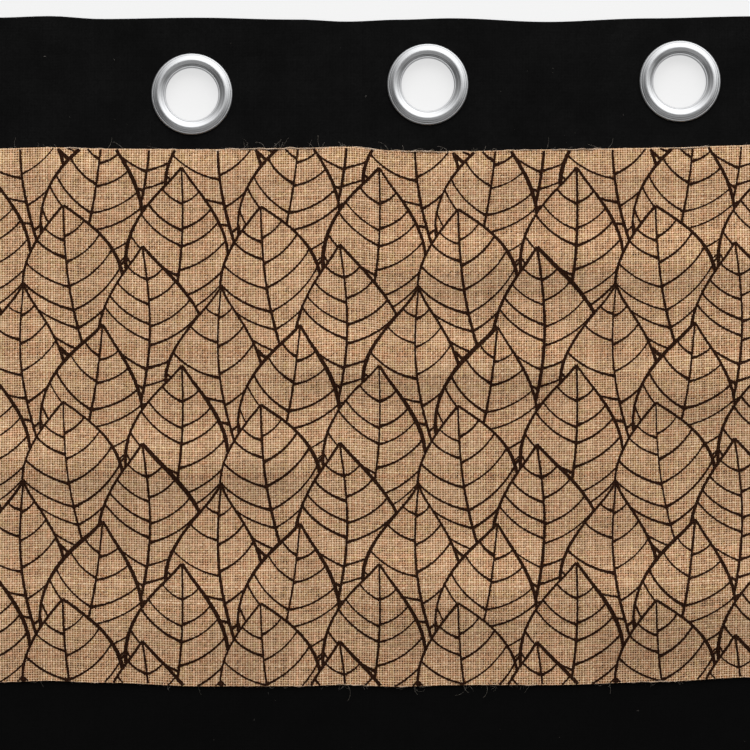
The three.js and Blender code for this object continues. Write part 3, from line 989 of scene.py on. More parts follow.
@dataclass
class CottonCloth:
    """The black cloth, with its turned heading, side hems, foot hem and eyelet holes."""

    finishes: Finishes
    cell: float = 8.5
    block_half_width: float = 40.0
    block_top: float = 8.0
    block_foot: float = 95.0
    block_cells: int = 16
    rings: int = 4
    edge_round: float = 0.5
    cut_width: float = 1.50
    cut_length: float = 2.00

    def columns(self) -> np.ndarray:
        """Returns the grid's columns, with even ones at each eyelet's block."""
        half = CURTAIN_WIDTH / 2 - self.edge_round
        hem = CURTAIN_WIDTH / 2 - SIDE_HEM_WIDTH
        columns = [-half, -hem - HEM_STEP / 2, -hem + HEM_STEP / 2]
        for eyelet in EYELETS:
            left = eyelet.x - self.block_half_width
            columns.extend(spread(columns[-1], left, self.cell)[1:-1])
            columns.extend(np.linspace(left, left + 2 * self.block_half_width, self.block_cells + 1))
        columns.extend(spread(columns[-1], hem - HEM_STEP / 2, self.cell)[1:])
        columns.extend([hem + HEM_STEP / 2, half])
        return np.array(columns)

    def rows(self) -> np.ndarray:
        """Returns the grid's drops."""
        block = np.linspace(self.block_top, self.block_foot, self.block_cells + 1)
        hem = CURTAIN_DROP - FOOT_HEM_DEPTH
        seam = HEADING_DROP + HEM_STEP / 2
        fall = spread(seam, hem - HEM_STEP / 2, self.cell)
        last = spread(hem + HEM_STEP / 2, CURTAIN_DROP - self.edge_round, self.cell)
        return np.concatenate([[self.edge_round], block, [HEADING_DROP - HEM_STEP / 2], fall, last])

    def layout(self) -> FlatLayout:
        """Lays the cloth out flat, with a ring of faces round each eyelet hole."""
        columns, rows = self.columns(), self.rows()
        grid = FlatLayout.grid(columns, rows)
        centre = grid.flat[grid.quads].mean(axis=1)
        keep = np.ones(len(grid.quads), bool)
        flats, quads = [grid.flat], []
        count = len(grid.flat)
        for eyelet in EYELETS:
            in_block = (np.abs(centre[:, 0] - eyelet.x) < self.block_half_width) & (
                (centre[:, 1] > self.block_top) & (centre[:, 1] < self.block_foot)
            )
            keep &= ~in_block
            border = self.block_border(columns, rows, eyelet)
            square = grid.flat[border]
            hole = self.hole_centre(eyelet)
            toward = square - hole
            angle = np.arctan2(toward[:, 1], toward[:, 0])
            circle = hole + CLOTH_HOLE_RADIUS * np.stack([np.cos(angle), np.sin(angle)], axis=-1)
            outer = border
            for ring in range(1, self.rings + 1):
                flats.append(mix(square, circle, ring / self.rings))
                inner = count + np.arange(len(border))
                count += len(border)
                quads.append(
                    np.stack([outer, np.roll(outer, -1), np.roll(inner, -1), inner], axis=-1)
                )
                outer = inner
        return FlatLayout(np.concatenate(flats), np.concatenate([grid.quads[keep], *quads]))

    def block_border(self, columns: np.ndarray, rows: np.ndarray, eyelet: EyeletPlace) -> np.ndarray:
        """Returns the grid points round an eyelet's block, in the order of a face at the front."""
        left = int(np.argmin(np.abs(columns - (eyelet.x - self.block_half_width))))
        top = int(np.argmin(np.abs(rows - self.block_top)))
        last = self.block_cells
        steps = np.arange(last)
        down = [(top + i, left) for i in steps]
        across = [(top + last, left + i) for i in steps]
        up = [(top + last - i, left + last) for i in steps]
        home = [(top, left + last - i) for i in steps]
        return np.array([row * len(columns) + column for row, column in down + across + up + home])

    def hole_centre(self, eyelet: EyeletPlace) -> np.ndarray:
        """Returns the flat place that hangs at the eyelet's middle."""
        drop = -eyelet.z
        for _ in range(3):
            drop = float(CLOTH.rise(np.array([eyelet.x]), np.array([drop]))[0]) - eyelet.z
        return np.array([eyelet.x, drop])

    def back_depth(self, x: np.ndarray, drop: np.ndarray) -> np.ndarray:
        """Returns the back face's depth, with the heading and the hems turned to the back."""
        step = HEM_STEP / 2
        side_hem = CURTAIN_WIDTH / 2 - SIDE_HEM_WIDTH
        foot_hem = CURTAIN_DROP - FOOT_HEM_DEPTH
        side = ease(side_hem - step, side_hem + step, np.abs(x))
        foot = ease(foot_hem - step, foot_hem + step, drop)
        heading = 1.0 - ease(HEADING_DROP - step, HEADING_DROP + step, drop)
        turned = HEM_EXTRA_THICK * np.maximum(side, foot)
        stiffened = (HEADING_THICK - CLOTH_THICK) * heading
        return CLOTH_THICK / 2 + np.maximum(turned, stiffened)

    def build(self) -> bpy.types.Object:
        """Makes the cloth and its stitching."""
        layout = self.layout()
        parts = closed_sheet(
            layout,
            edge_bulge(layout.flat, self.edge_round),
            lambda x, drop: np.full(len(x), -CLOTH_THICK / 2),
            self.back_depth,
        )
        cloth = parts.make("cotton_cloth", self.finishes.cotton, sharp=60)
        place(cloth, Slot.COTTON, ["heading_band", "black_panel"])
        stitching = Stitching(self.finishes.thread).build(self.back_depth)
        return cloth


@dataclass
class Stitching:
    """Straight lines of machine stitches, on the front and on the back of the cloth."""

    material: bpy.types.Material
    pitch: float = 3.6
    length: float = 2.9
    radius: float = 0.19
    sides: int = 5
    inset: float = 2.5

    def build(self, back_depth: Callable[[np.ndarray, np.ndarray], np.ndarray]) -> bpy.types.Object:
        """Makes all the stitches as one piece.

        Args:
            back_depth: Gives the depth of the cloth's back face.

        Returns:
            The piece.
        """
        parts = MeshParts()
        side = CURTAIN_WIDTH / 2 - SIDE_HEM_WIDTH + self.inset
        foot = CURTAIN_DROP - FOOT_HEM_DEPTH + self.inset
        edge = CURTAIN_WIDTH / 2 - 6.0
        upright = [((x, 6.0), (x, CURTAIN_DROP - 4.0)) for x in (-side, side)]
        level = [((-edge, drop), (edge, drop)) for drop in (HEADING_DROP - self.inset, foot)]
        for start, end in upright + level:
            self.run(parts, np.array(start), np.array(end), back_depth, 1.0)
        jute_foot = JUTE_FOOT_DROP - self.inset
        self.run(parts, np.array([-edge, jute_foot]), np.array([edge, jute_foot]), back_depth, 1.0)
        front = lambda x, drop: np.full(np.shape(x), -CLOTH_THICK / 2)
        for start, end in [*upright, level[1]]:
            self.run(parts, np.array(start), np.array(end), front, -1.0)
        return place(parts.make("hem_stitches", self.material), Slot.COTTON)

    def run(
        self,
        parts: MeshParts,
        start: np.ndarray,
        end: np.ndarray,
        depth: Callable[[np.ndarray, np.ndarray], np.ndarray],
        side: float,
    ) -> None:
        """Adds one line of stitches.

        Args:
            parts: Where the stitches are collected.
            start: The line's start on the flat cloth.
            end: The line's end.
            depth: Gives the depth of the face that is sewn.
            side: 1 on the back, and -1 on the front.
        """
        whole = np.linalg.norm(end - start)
        ahead = (end - start) / whole
        in_stitch = np.array([0.0, 0.12, 0.5, 0.88, 1.0])
        lift = np.array([-1.2, 0.35, 0.6, 0.35, -1.2]) * self.radius
        radii = self.radius * np.array([0.55, 1.0, 1.0, 1.0, 0.55])
        for at in np.arange(0.0, whole - self.length, self.pitch):
            flat = start + ahead * (at + in_stitch[:, None] * self.length)
            x, drop = flat.T
            if side < 0 and JUTE_HEAD_DROP - 2.0 < drop.mean() < JUTE_FOOT_DROP + 2.0:
                continue
            path = CLOTH.point(x, drop, depth(x, drop) + side * lift)
            parts.add(*sweep(path, radii, self.sides))


@dataclass
class JuteBand:
    """The jute band on the front of the black cloth, with its edge yarns and stray fibres."""

    finishes: Finishes
    cell: float = 4.6
    edge_round: float = 0.15
    cut_width: float = 1.44
    cut_length: float = 0.41
    yarn_radius: float = 0.3

    @property
    def back(self) -> float:
        """The depth of the band's back face."""
        return -CLOTH_THICK / 2 - CLEARANCE

    @property
    def front(self) -> float:
        """The depth of the band's front face."""
        return self.back - JUTE_THICK

    def build(self) -> bpy.types.Object:
        """Makes the band and what belongs to its edges."""
        half = CURTAIN_WIDTH / 2 - self.edge_round
        columns = spread(-half, half, self.cell)
        rows = spread(JUTE_HEAD_DROP + self.edge_round, JUTE_FOOT_DROP - self.edge_round, self.cell)
        layout = FlatLayout.grid(columns, rows)
        parts = closed_sheet(
            layout,
            edge_bulge(layout.flat, self.edge_round),
            lambda x, drop: np.full(len(x), self.front),
            lambda x, drop: np.full(len(x), self.back),
        )
        band = place(parts.make("jute_band", self.finishes.jute, sharp=60), Slot.JUTE, ["jute_panel"])
        yarns = self.edge_yarns()
        fibres = self.stray_fibres()
        return band

    def edge_yarns(self) -> bpy.types.Object:
        """Makes the outermost yarn along the top and the bottom edge.

        It thins out, sinks between its neighbours and works loose by turns.
        """
        chance = np.random.default_rng(31)
        parts = MeshParts()
        half = CURTAIN_WIDTH / 2 - 2.0
        for drop, outward in ((JUTE_HEAD_DROP, -1.0), (JUTE_FOOT_DROP, 1.0)):
            x = spread(-half, half, 1.3)
            wander = np.convolve(chance.normal(0.0, 0.6, len(x)), np.ones(5) / 5, mode="same")
            sunk = np.convolve(chance.normal(0.0, 1.7, len(x)), np.ones(23) / 23, mode="same")
            bulge = np.convolve(chance.normal(0.0, 0.55, len(x)), np.ones(3) / 3, mode="same")
            depth = self.front + 0.5 + 1.5 * sunk + 0.25 * bulge
            path = CLOTH.point(x, drop + outward * (wander - 0.35), depth)
            radii = np.clip(self.yarn_radius * (1.0 + 0.5 * bulge - 0.8 * sunk), 0.12, 0.6)
            radii[[0, -1]] = 0.1
            parts.add(*sweep(path, radii, 6))
        return place(parts.make("edge_yarns", self.finishes.yarn), Slot.JUTE)

    def stray_fibres(self) -> bpy.types.Object:
        """Makes the loose fibres that stand out over the black cloth, in uneven clusters."""
        chance = np.random.default_rng(77)
        parts = MeshParts()
        half = CURTAIN_WIDTH / 2 - 8.0
        for drop, outward in ((JUTE_HEAD_DROP, -1.0), (JUTE_FOOT_DROP, 1.0)):
            clusters = chance.uniform(-half, half, 46)
            starts = [c + chance.normal(0.0, 7.0) for c in clusters for _ in range(chance.integers(1, 7))]
            starts.extend(chance.uniform(-half, half, 170))
            for x in starts:
                self.fibre(parts, chance, float(np.clip(x, -half, half)), drop, outward)
        return place(parts.make("stray_fibres", self.finishes.fibre), Slot.JUTE)

    def fibre(
        self, parts: MeshParts, chance: np.random.Generator, x: float, drop: float, outward: float
    ) -> None:
        """Adds one curved fibre.

        Args:
            parts: Where the fibres are collected.
            chance: The random numbers.
            x: Where it leaves the edge.
            drop: The edge's drop.
            outward: -1 at the top edge, and 1 at the bottom edge.
        """
        longest, curl = (10.0, 1.9) if outward < 0 else (15.0, 2.7)
        length = min(longest, 1.0 + chance.exponential(3.2))
        share = np.linspace(0.0, 1.0, 7)
        heading = chance.normal(0.0, 0.8)
        bend = chance.normal(0.0, curl)
        angle = heading + bend * share
        step = length / 6
        across = x + np.concatenate([[0.0], np.cumsum(np.sin(angle[1:]) * step)])
        down = drop + outward * (np.concatenate([[0.0], np.cumsum(np.cos(angle[1:]) * step)]) - 0.6)
        lift = chance.uniform(0.2, 1.3) * np.sin(np.pi * share * 0.8)
        resting = mix(self.front, -CLOTH_THICK / 2 - 0.15, ease(0.0, 0.6, share))
        path = CLOTH.point(np.clip(across, -699.0, 699.0), down, resting - lift)
        radii = chance.uniform(0.05, 0.13) * mix(1.0, 0.5, share)
        parts.add(*sweep(path, radii, 4))


@dataclass(frozen=True)
class Leaf:
    """One leaf of the repeat, drawn by rule from its top point, in millimetres and degrees.

    It leans and bows to the right, and each half swells to its own width at the widest share
    of the length. On the print x runs to the right and y down.
    """

    length: float
    lean: float
    bow: float
    left_width: float
    right_width: float
    widest: float
    veins: int
    pointed: float = 2.4
    marks: int = 15

    def midrib(self) -> np.ndarray:
        """Returns points along the midrib, from the top point to the foot."""
        share = np.linspace(0.0, 1.0, self.marks)[:, None]
        bow = self.bow * np.sin(np.pi * share) * off_upright(self.lean + 90.0)
        return bow - self.length * share * off_upright(self.lean)

    def margin(self, side: int) -> np.ndarray:
        """Returns points along one margin: side is -1 for the left one, and 1 for the right one."""
        share = np.linspace(0.0, 1.0, self.marks)[:, None]
        rise = self.pointed * self.widest
        fall = self.pointed * (1.0 - self.widest)
        most = self.widest**rise * (1.0 - self.widest) ** fall
        swell = share**rise * (1.0 - share) ** fall / most
        width = self.left_width if side < 0 else self.right_width
        return self.midrib() + side * width * swell * off_upright(self.lean + 90.0)


LEAVES = (
    Leaf(length=135, lean=6, bow=6, left_width=40, right_width=35, widest=0.5, veins=6),
    Leaf(length=130, lean=-10, bow=-6, left_width=34, right_width=40, widest=0.45, veins=6),
    Leaf(length=140, lean=3, bow=9, left_width=38, right_width=42, widest=0.5, veins=7),
    Leaf(length=125, lean=-6, bow=-8, left_width=40, right_width=32, widest=0.55, veins=5),
    Leaf(length=135, lean=12, bow=5, left_width=36, right_width=38, widest=0.5, veins=6),
)


def smooth_line(points: Sequence[tuple[float, float]], step: float) -> np.ndarray:
    """Draws a smooth curve through a few points.

    Args:
        points: The points that it passes through.
        step: How far apart the curve's own points lie.

    Returns:
        The curve's points, evenly spaced.
    """
    knots = np.array(points, float)
    padded = np.concatenate([[2 * knots[0] - knots[1]], knots, [2 * knots[-1] - knots[-2]]])
    share = np.linspace(0.0, 1.0, 24, endpoint=False)[:, None]
    pieces = []
    for a, b, c, d in zip(padded, padded[1:], padded[2:], padded[3:]):
        pieces.append(
            0.5
            * (
                2 * b
                + (c - a) * share
                + (2 * a - 5 * b + 4 * c - d) * share**2
                + (3 * b - 3 * c + d - a) * share**3
            )
        )
    dense = np.concatenate([*pieces, knots[-1:]])
    length = np.concatenate([[0.0], np.cumsum(np.linalg.norm(np.diff(dense, axis=0), axis=1))])
    even = np.linspace(0.0, length[-1], max(3, math.ceil(length[-1] / step) + 1))
    return np.stack([np.interp(even, length, dense[:, i]) for i in (0, 1)], axis=-1)


def at_share(line: np.ndarray, share: float) -> np.ndarray:
    """Returns the point at a share of an evenly spaced line."""
    index = share * (len(line) - 1)
    low = min(int(index), len(line) - 2)
    return mix(line[low], line[low + 1], index - low)


def off_upright(degrees: float) -> np.ndarray:
    """Returns the direction so many degrees to the right of straight up, on a print whose y runs down."""
    angle = math.radians(degrees)
    return np.array([math.sin(angle), -math.cos(angle)])


@dataclass(frozen=True)
class Stroke:
    """One printed line: its points in the repeat, its width at each of them, and its leaf."""

    line: np.ndarray
    width: np.ndarray
    leaf: int


@dataclass
class LeafPrint:
    """The leaf print: a repeat of overlapping leaves, drawn in line over the whole band."""

    material: bpy.types.Material
    repeat_across: float = 145.0
    repeat_down: float = 145.0
    sateen_move: int = 2
    first_x: float = -270.0
    first_drop: float = 110.0
    step: float = 0.95
    above_jute: float = 0.14
    sheets: int = 3
    margin_width: float = 1.95
    midrib_width: float = 1.5
    midrib_swell: float = 0.65
    vein_width: float = 1.3
    flare: float = 1.1
    flare_reach: float = 2.6
    bend: float = 0.35
    droop: float = 18.0
    vein_rise: float = 0.7
    first_vein: float = 0.12
    last_vein: float = 0.9
    margin_swell: float = 0.8

    def top(self, number: int) -> np.ndarray:
        """Returns the place of a leaf's top point in the repeat.

        The leaves stand in sateen order: each is one share of the repeat further down than the
        one before it, and sateen_move shares further across.
        """
        count = len(LEAVES)
        across = self.sateen_move * number % count
        return np.array([across * self.repeat_across, number * self.repeat_down]) / count

    def leaf_strokes(self, number: int, leaf: Leaf) -> list[Stroke]:
        """Draws one leaf's margins, midrib and veins.

        Args:
            number: The leaf's place in LEAVES.
            leaf: The leaf.

        Returns:
            Its strokes.
        """
        chance = np.random.default_rng(40 + number)
        midrib = smooth_line(leaf.midrib(), self.step) + self.top(number)
        share = np.linspace(0.0, 1.0, len(midrib))
        strokes = [Stroke(midrib, self.midrib_width + self.midrib_swell * ease(0.1, 0.9, share), number)]
        for side in (-1, 1):
            line = smooth_line(leaf.margin(side), self.step) + self.top(number)
            share = np.linspace(0.0, 1.0, len(line))
            swell = self.margin_swell * crest(share - chance.uniform(0.1, 0.7), 0.3)
            strokes.append(Stroke(line, self.margin_width + swell, number))
            for vein in range(leaf.veins):
                down = (vein + 0.5 + chance.uniform(-0.2, 0.2)) / leaf.veins
                strokes.append(self.vein_stroke(number, side, down, midrib, line))
        return strokes

    def vein_stroke(
        self, number: int, side: int, down: float, midrib: np.ndarray, margin: np.ndarray
    ) -> Stroke:
        """Draws one side vein as an arc with a flared foot.

        Args:
            number: The leaf's place in LEAVES.
            side: -1 for the left half of the leaf, and 1 for the right half.
            down: The vein's place in its row, from 0 at the top to 1 at the foot.
            midrib: The midrib's line.
            margin: The margin's line.

        Returns:
            The stroke.
        """
        from_top = mix(self.first_vein, self.last_vein, down)
        start = at_share(midrib, from_top)
        end = at_share(margin, self.vein_rise * from_top)
        ahead = end - start
        reach = np.linalg.norm(ahead)
        straight = math.degrees(math.atan2(ahead[0], -ahead[1]))
        first = start + off_upright(straight + side * self.droop) * reach * self.bend
        last = end - off_upright(straight - side * self.droop) * reach * self.bend
        share = np.linspace(0.0, 1.0, max(4, math.ceil(1.1 * reach / self.step)))[:, None]
        rest = 1.0 - share
        line = (
            rest**3 * start + 3 * rest**2 * share * first + 3 * rest * share**2 * last + share**3 * end
        )
        flare = np.exp(-share[:, 0] * reach / self.flare_reach)
        width = self.vein_width + 0.3 * rest[:, 0] + self.flare * flare
        width += 0.4 * crest(share[:, 0] - 1.0, 0.15)
        return Stroke(line, width, number)

    def hidden(self, stroke: Stroke, outlines: Sequence[np.ndarray]) -> np.ndarray:
        """Finds which points of a stroke lie under a leaf whose top is lower than its own.

        Args:
            stroke: The stroke.
            outlines: The closed outline of each leaf.

        Returns:
            True for each point that doesn't show.
        """
        covered = np.zeros(len(stroke.line), bool)
        for other, outline in enumerate(outlines):
            for down in (-2, -1, 0, 1, 2):
                if other + down * len(LEAVES) <= stroke.leaf:
                    continue
                for across in (-2, -1, 0, 1, 2):
                    shift = np.array([across * self.repeat_across, down * self.repeat_down])
                    covered |= inside_outline(stroke.line - shift, outline)
        return covered

    def visible_runs(self) -> list[Stroke]:
        """Returns the parts of all strokes of one repeat that show."""
        outlines = []
        for number, leaf in enumerate(LEAVES):
            left = smooth_line(leaf.margin(-1), 3.0)
            right = smooth_line(leaf.margin(1), 3.0)
            outlines.append(np.concatenate([left, right[-2:0:-1]]) + self.top(number))
        runs = []
        for number, leaf in enumerate(LEAVES):
            for stroke in self.leaf_strokes(number, leaf):
                shown = ~self.hidden(stroke, outlines)
                runs.extend(self.split(stroke, shown))
        return runs

    @staticmethod
    def split(stroke: Stroke, shown: np.ndarray) -> list[Stroke]:
        """Splits a stroke into the runs that show, and leaves out the very short ones."""
        change = np.flatnonzero(np.diff(np.concatenate([[0], shown.astype(int), [0]])))
        return [
            Stroke(stroke.line[a:b], stroke.width[a:b], stroke.leaf)
            for a, b in zip(change[::2], change[1::2])
            if b - a > 2
        ]

    def build(self, front: float) -> list[bpy.types.Object]:
        """Prints the repeat over the band.

        Args:
            front: The depth of the jute's front face.

        Returns:
            The print's pieces.
        """
        chance = np.random.default_rng(5)
        runs = self.visible_runs()
        edge = CURTAIN_WIDTH / 2 - 1.0
        top, foot = JUTE_HEAD_DROP + 0.1, JUTE_FOOT_DROP - 0.1
        collected = [MeshParts() for _ in range(self.sheets)]
        columns = range(-4, 8)
        for column in columns:
            x0 = self.first_x + column * self.repeat_across
            sheet = int(np.clip((x0 + 700.0) / 1400.0 * self.sheets, 0, self.sheets - 1))
            for row in range(-2, 4):
                drop0 = self.first_drop + row * self.repeat_down
                for order, run in enumerate(runs):
                    line = run.line + np.array([x0, drop0])
                    shown = (np.abs(line[:, 0]) < edge) & (line[:, 1] > top) & (line[:, 1] < foot)
                    for part in self.split(Stroke(line, run.width, run.leaf), shown):
                        lift = self.above_jute + 0.06 * (order % 8) / 8
                        self.ribbon(collected[sheet], chance, part, front - lift)
        return [
            place(parts.make(f"leaf_print_{i + 1}", self.material), Slot.JUTE)
            for i, parts in enumerate(collected)
        ]

    def ribbon(self, parts: MeshParts, chance: np.random.Generator, stroke: Stroke, depth: float) -> None:
        """Adds one printed line, whose edges waver by part of a thread.

        Args:
            parts: Where the lines are collected.
            chance: The random numbers.
            stroke: The line on the flat band.
            depth: The depth of the ink.
        """
        ahead = np.gradient(stroke.line, axis=0)
        ahead /= np.linalg.norm(ahead, axis=1, keepdims=True) + 1e-9
        side = np.stack([ahead[:, 1], -ahead[:, 0]], axis=-1)
        count = len(stroke.line)
        soaked = 1.0 + 0.10 * chance.normal(size=1)
        left = 0.5 * stroke.width * soaked + chance.uniform(-0.2, 0.2, count)
        right = 0.5 * stroke.width * soaked + chance.uniform(-0.2, 0.2, count)
        flat = np.concatenate([stroke.line + side * left[:, None], stroke.line - side * right[:, None]])
        x = np.clip(flat[:, 0], -CURTAIN_WIDTH / 2 + 0.5, CURTAIN_WIDTH / 2 - 0.5)
        drop = np.clip(flat[:, 1], JUTE_HEAD_DROP + 0.1, JUTE_FOOT_DROP - 0.1)
        points = CLOTH.point(x, drop, depth)
        low = np.arange(count - 1)
        faces = np.stack([low, low + 1, low + 1 + count, low + count], axis=-1)
        parts.add(points, faces, np.stack([x, -drop], axis=-1))


def inside_outline(points: np.ndarray, outline: np.ndarray) -> np.ndarray:
    """Tests which points lie inside a closed outline, by counting the edges to their right."""
    start = outline
    end = np.roll(outline, -1, axis=0)
    x, y = points[:, 0][:, None], points[:, 1][:, None]
    crosses = (start[:, 1] > y) != (end[:, 1] > y)
    slope = (end[:, 0] - start[:, 0]) / (end[:, 1] - start[:, 1] + 1e-12)
    at = start[:, 0] + slope * (y - start[:, 1])
    return (np.sum(crosses & (at > x), axis=1) % 2).astype(bool)


@dataclass
class EyeletRings:
    """The two-part metal eyelets: a domed front ring, and a back ring whose barrel comes through."""

    material: bpy.types.Material
    segments: int = 96
    wall: float = 0.9
    lip: float = 1.2

    def front_profile(self) -> np.ndarray:
        """Returns the front ring's section as radius and height in front of the cloth."""
        rim = EYELET_RADIUS
        bore = BORE_RADIUS
        outside = smooth_line(
            (
                (rim, CLEARANCE),
                (rim, 0.8),
                (rim - 0.35, 1.4),
                (rim - 1.0, 1.9),
                (rim - 1.4, 1.88),
                (rim - 1.75, 2.2),
                (rim - 2.5, 2.6),
                (rim - 2.9, 2.62),
                (rim - 3.2, 2.9),
                (rim - 4.0, 3.26),
                (rim - 4.7, 3.45),
                (rim - 5.3, 3.5),
                (rim - 5.9, 3.4),
                (rim - 6.7, 3.05),
                (rim - 7.3, 2.72),
                (rim - 7.6, 2.72),
                (rim - 8.0, 2.4),
                (bore + 1.3, 1.98),
                (bore + 0.7, 1.6),
                (bore + 0.3, 1.05),
                (bore + 0.08, 0.4),
                (bore, -0.3),
                (bore, -self.lip),
            ),
            0.28,
        )
        inside = [
            (bore + self.wall, -self.lip),
            (bore + self.wall + 0.2, 0.6),
            (rim - 7.4, 1.9),
            (rim - 5.4, 2.6),
            (rim - 1.9, 1.1),
            (rim - self.wall, CLEARANCE),
        ]
        return np.concatenate([outside, inside])

    def back_profile(self) -> np.ndarray:
        """Returns the back ring's section as radius and height in front of the cloth."""
        face = -HEADING_THICK - CLEARANCE
        mouth = -self.lip - CLEARANCE
        rim = EYELET_RADIUS - 1.4
        return np.array(
            [
                (BARREL_RADIUS + 0.45, mouth),
                (BARREL_RADIUS + 0.12, mouth - 0.3),
                (BARREL_RADIUS, mouth - 0.75),
                (BARREL_RADIUS, face - 0.4),
                (BARREL_RADIUS + 0.15, face - 0.85),
                (BARREL_RADIUS + 0.5, face - 1.2),
                (BARREL_RADIUS + 1.0, face - 1.38),
                (BARREL_RADIUS + 1.8, face - 1.4),
                (rim - 3.0, face - 1.3),
                (rim - 1.2, face - 1.15),
                (rim - 0.35, face - 0.85),
                (rim, face - 0.45),
                (rim, face),
                (BORE_RADIUS + self.wall, face),
                (BORE_RADIUS + self.wall, mouth),
            ]
        )

    def turn(self, profile: np.ndarray, eyelet: EyeletPlace) -> MeshParts:
        """Turns a closed section about the eyelet's axis.

        Args:
            profile: The section as radius and height in front of the cloth.
            eyelet: Where the ring sits.

        Returns:
            The ring's points and faces.
        """
        radius, height = profile.T
        angle = np.arange(self.segments) * 2.0 * np.pi / self.segments
        x = np.outer(np.cos(angle), radius)
        z = np.outer(np.sin(angle), radius)
        y = np.broadcast_to(-height, x.shape)
        local = np.stack([x, y, z], axis=-1).reshape(-1, 3)
        seat = Euler((0.0, 0.0, math.radians(eyelet.turn))).to_matrix()
        seat = Euler((math.radians(-eyelet.lean), 0.0, 0.0)).to_matrix() @ seat
        points = local @ np.array(seat).T + np.array([eyelet.x, -CLOTH_THICK / 2, eyelet.z])
        count = len(profile)
        i, j = np.meshgrid(np.arange(self.segments), np.arange(count), indexing="ij")
        next_i = (i + 1) % self.segments
        next_j = (j + 1) % count
        faces = np.stack(
            [i * count + j, i * count + next_j, next_i * count + next_j, next_i * count + j], axis=-1
        ).reshape(-1, 4)
        along = np.cumsum(np.linalg.norm(np.diff(profile, axis=0, prepend=profile[:1]), axis=1))
        around = np.cos(angle) * EYELET_RADIUS
        places = np.stack(np.broadcast_arrays(around[:, None], along[None, :]), axis=-1)
        parts = MeshParts()
        parts.add(points, faces, places.reshape(-1, 2))
        return parts

    def build(self) -> list[bpy.types.Object]:
        """Makes all the rings, each as its own piece."""
        rings = []
        for number, eyelet in enumerate(EYELETS, start=1):
            for side, profile in (("front", self.front_profile()), ("back", self.back_profile())):
                ring = self.turn(profile, eyelet).make(f"ring_{side}_{number}", self.material, sharp=50)
                rings.append(place(ring, Slot.CHROME, [f"eyelet_{side}_{number}"]))
        return rings


@dataclass
class Lint:
    """Short pale fibres caught on the front of the black cloth."""

    material: bpy.types.Material
    count: int = 700

    def build(self) -> bpy.types.Object:
        """Makes the lint as one piece."""
        chance = np.random.default_rng(12)
        parts = MeshParts()
        made = 0
        while made < self.count:
            x = chance.uniform(-690.0, 690.0)
            drop = chance.uniform(4.0, 1740.0)
            over_jute = JUTE_HEAD_DROP - 3.0 < drop < JUTE_FOOT_DROP + 3.0
            over_ring = any(math.hypot(x - e.x, -drop - e.z) < EYELET_RADIUS + 3.0 for e in EYELETS)
            if over_jute or over_ring:
                continue
            length = 0.3 + chance.exponential(0.5)
            share = np.linspace(0.0, 1.0, 4)
            angle = chance.uniform(0.0, 2.0 * np.pi) + chance.normal(0.0, 1.2) * share
            across = x + np.cumsum(np.cos(angle)) * length / 3
            down = drop + np.cumsum(np.sin(angle)) * length / 3
            lift = 0.06 + 0.2 * np.sin(np.pi * share)
            path = CLOTH.point(across, down, -CLOTH_THICK / 2 - lift)
            parts.add(*sweep(path, np.full(4, chance.uniform(0.04, 0.1)), 3))
            made += 1
        return place(parts.make("cloth_lint", self.material), Slot.COTTON)


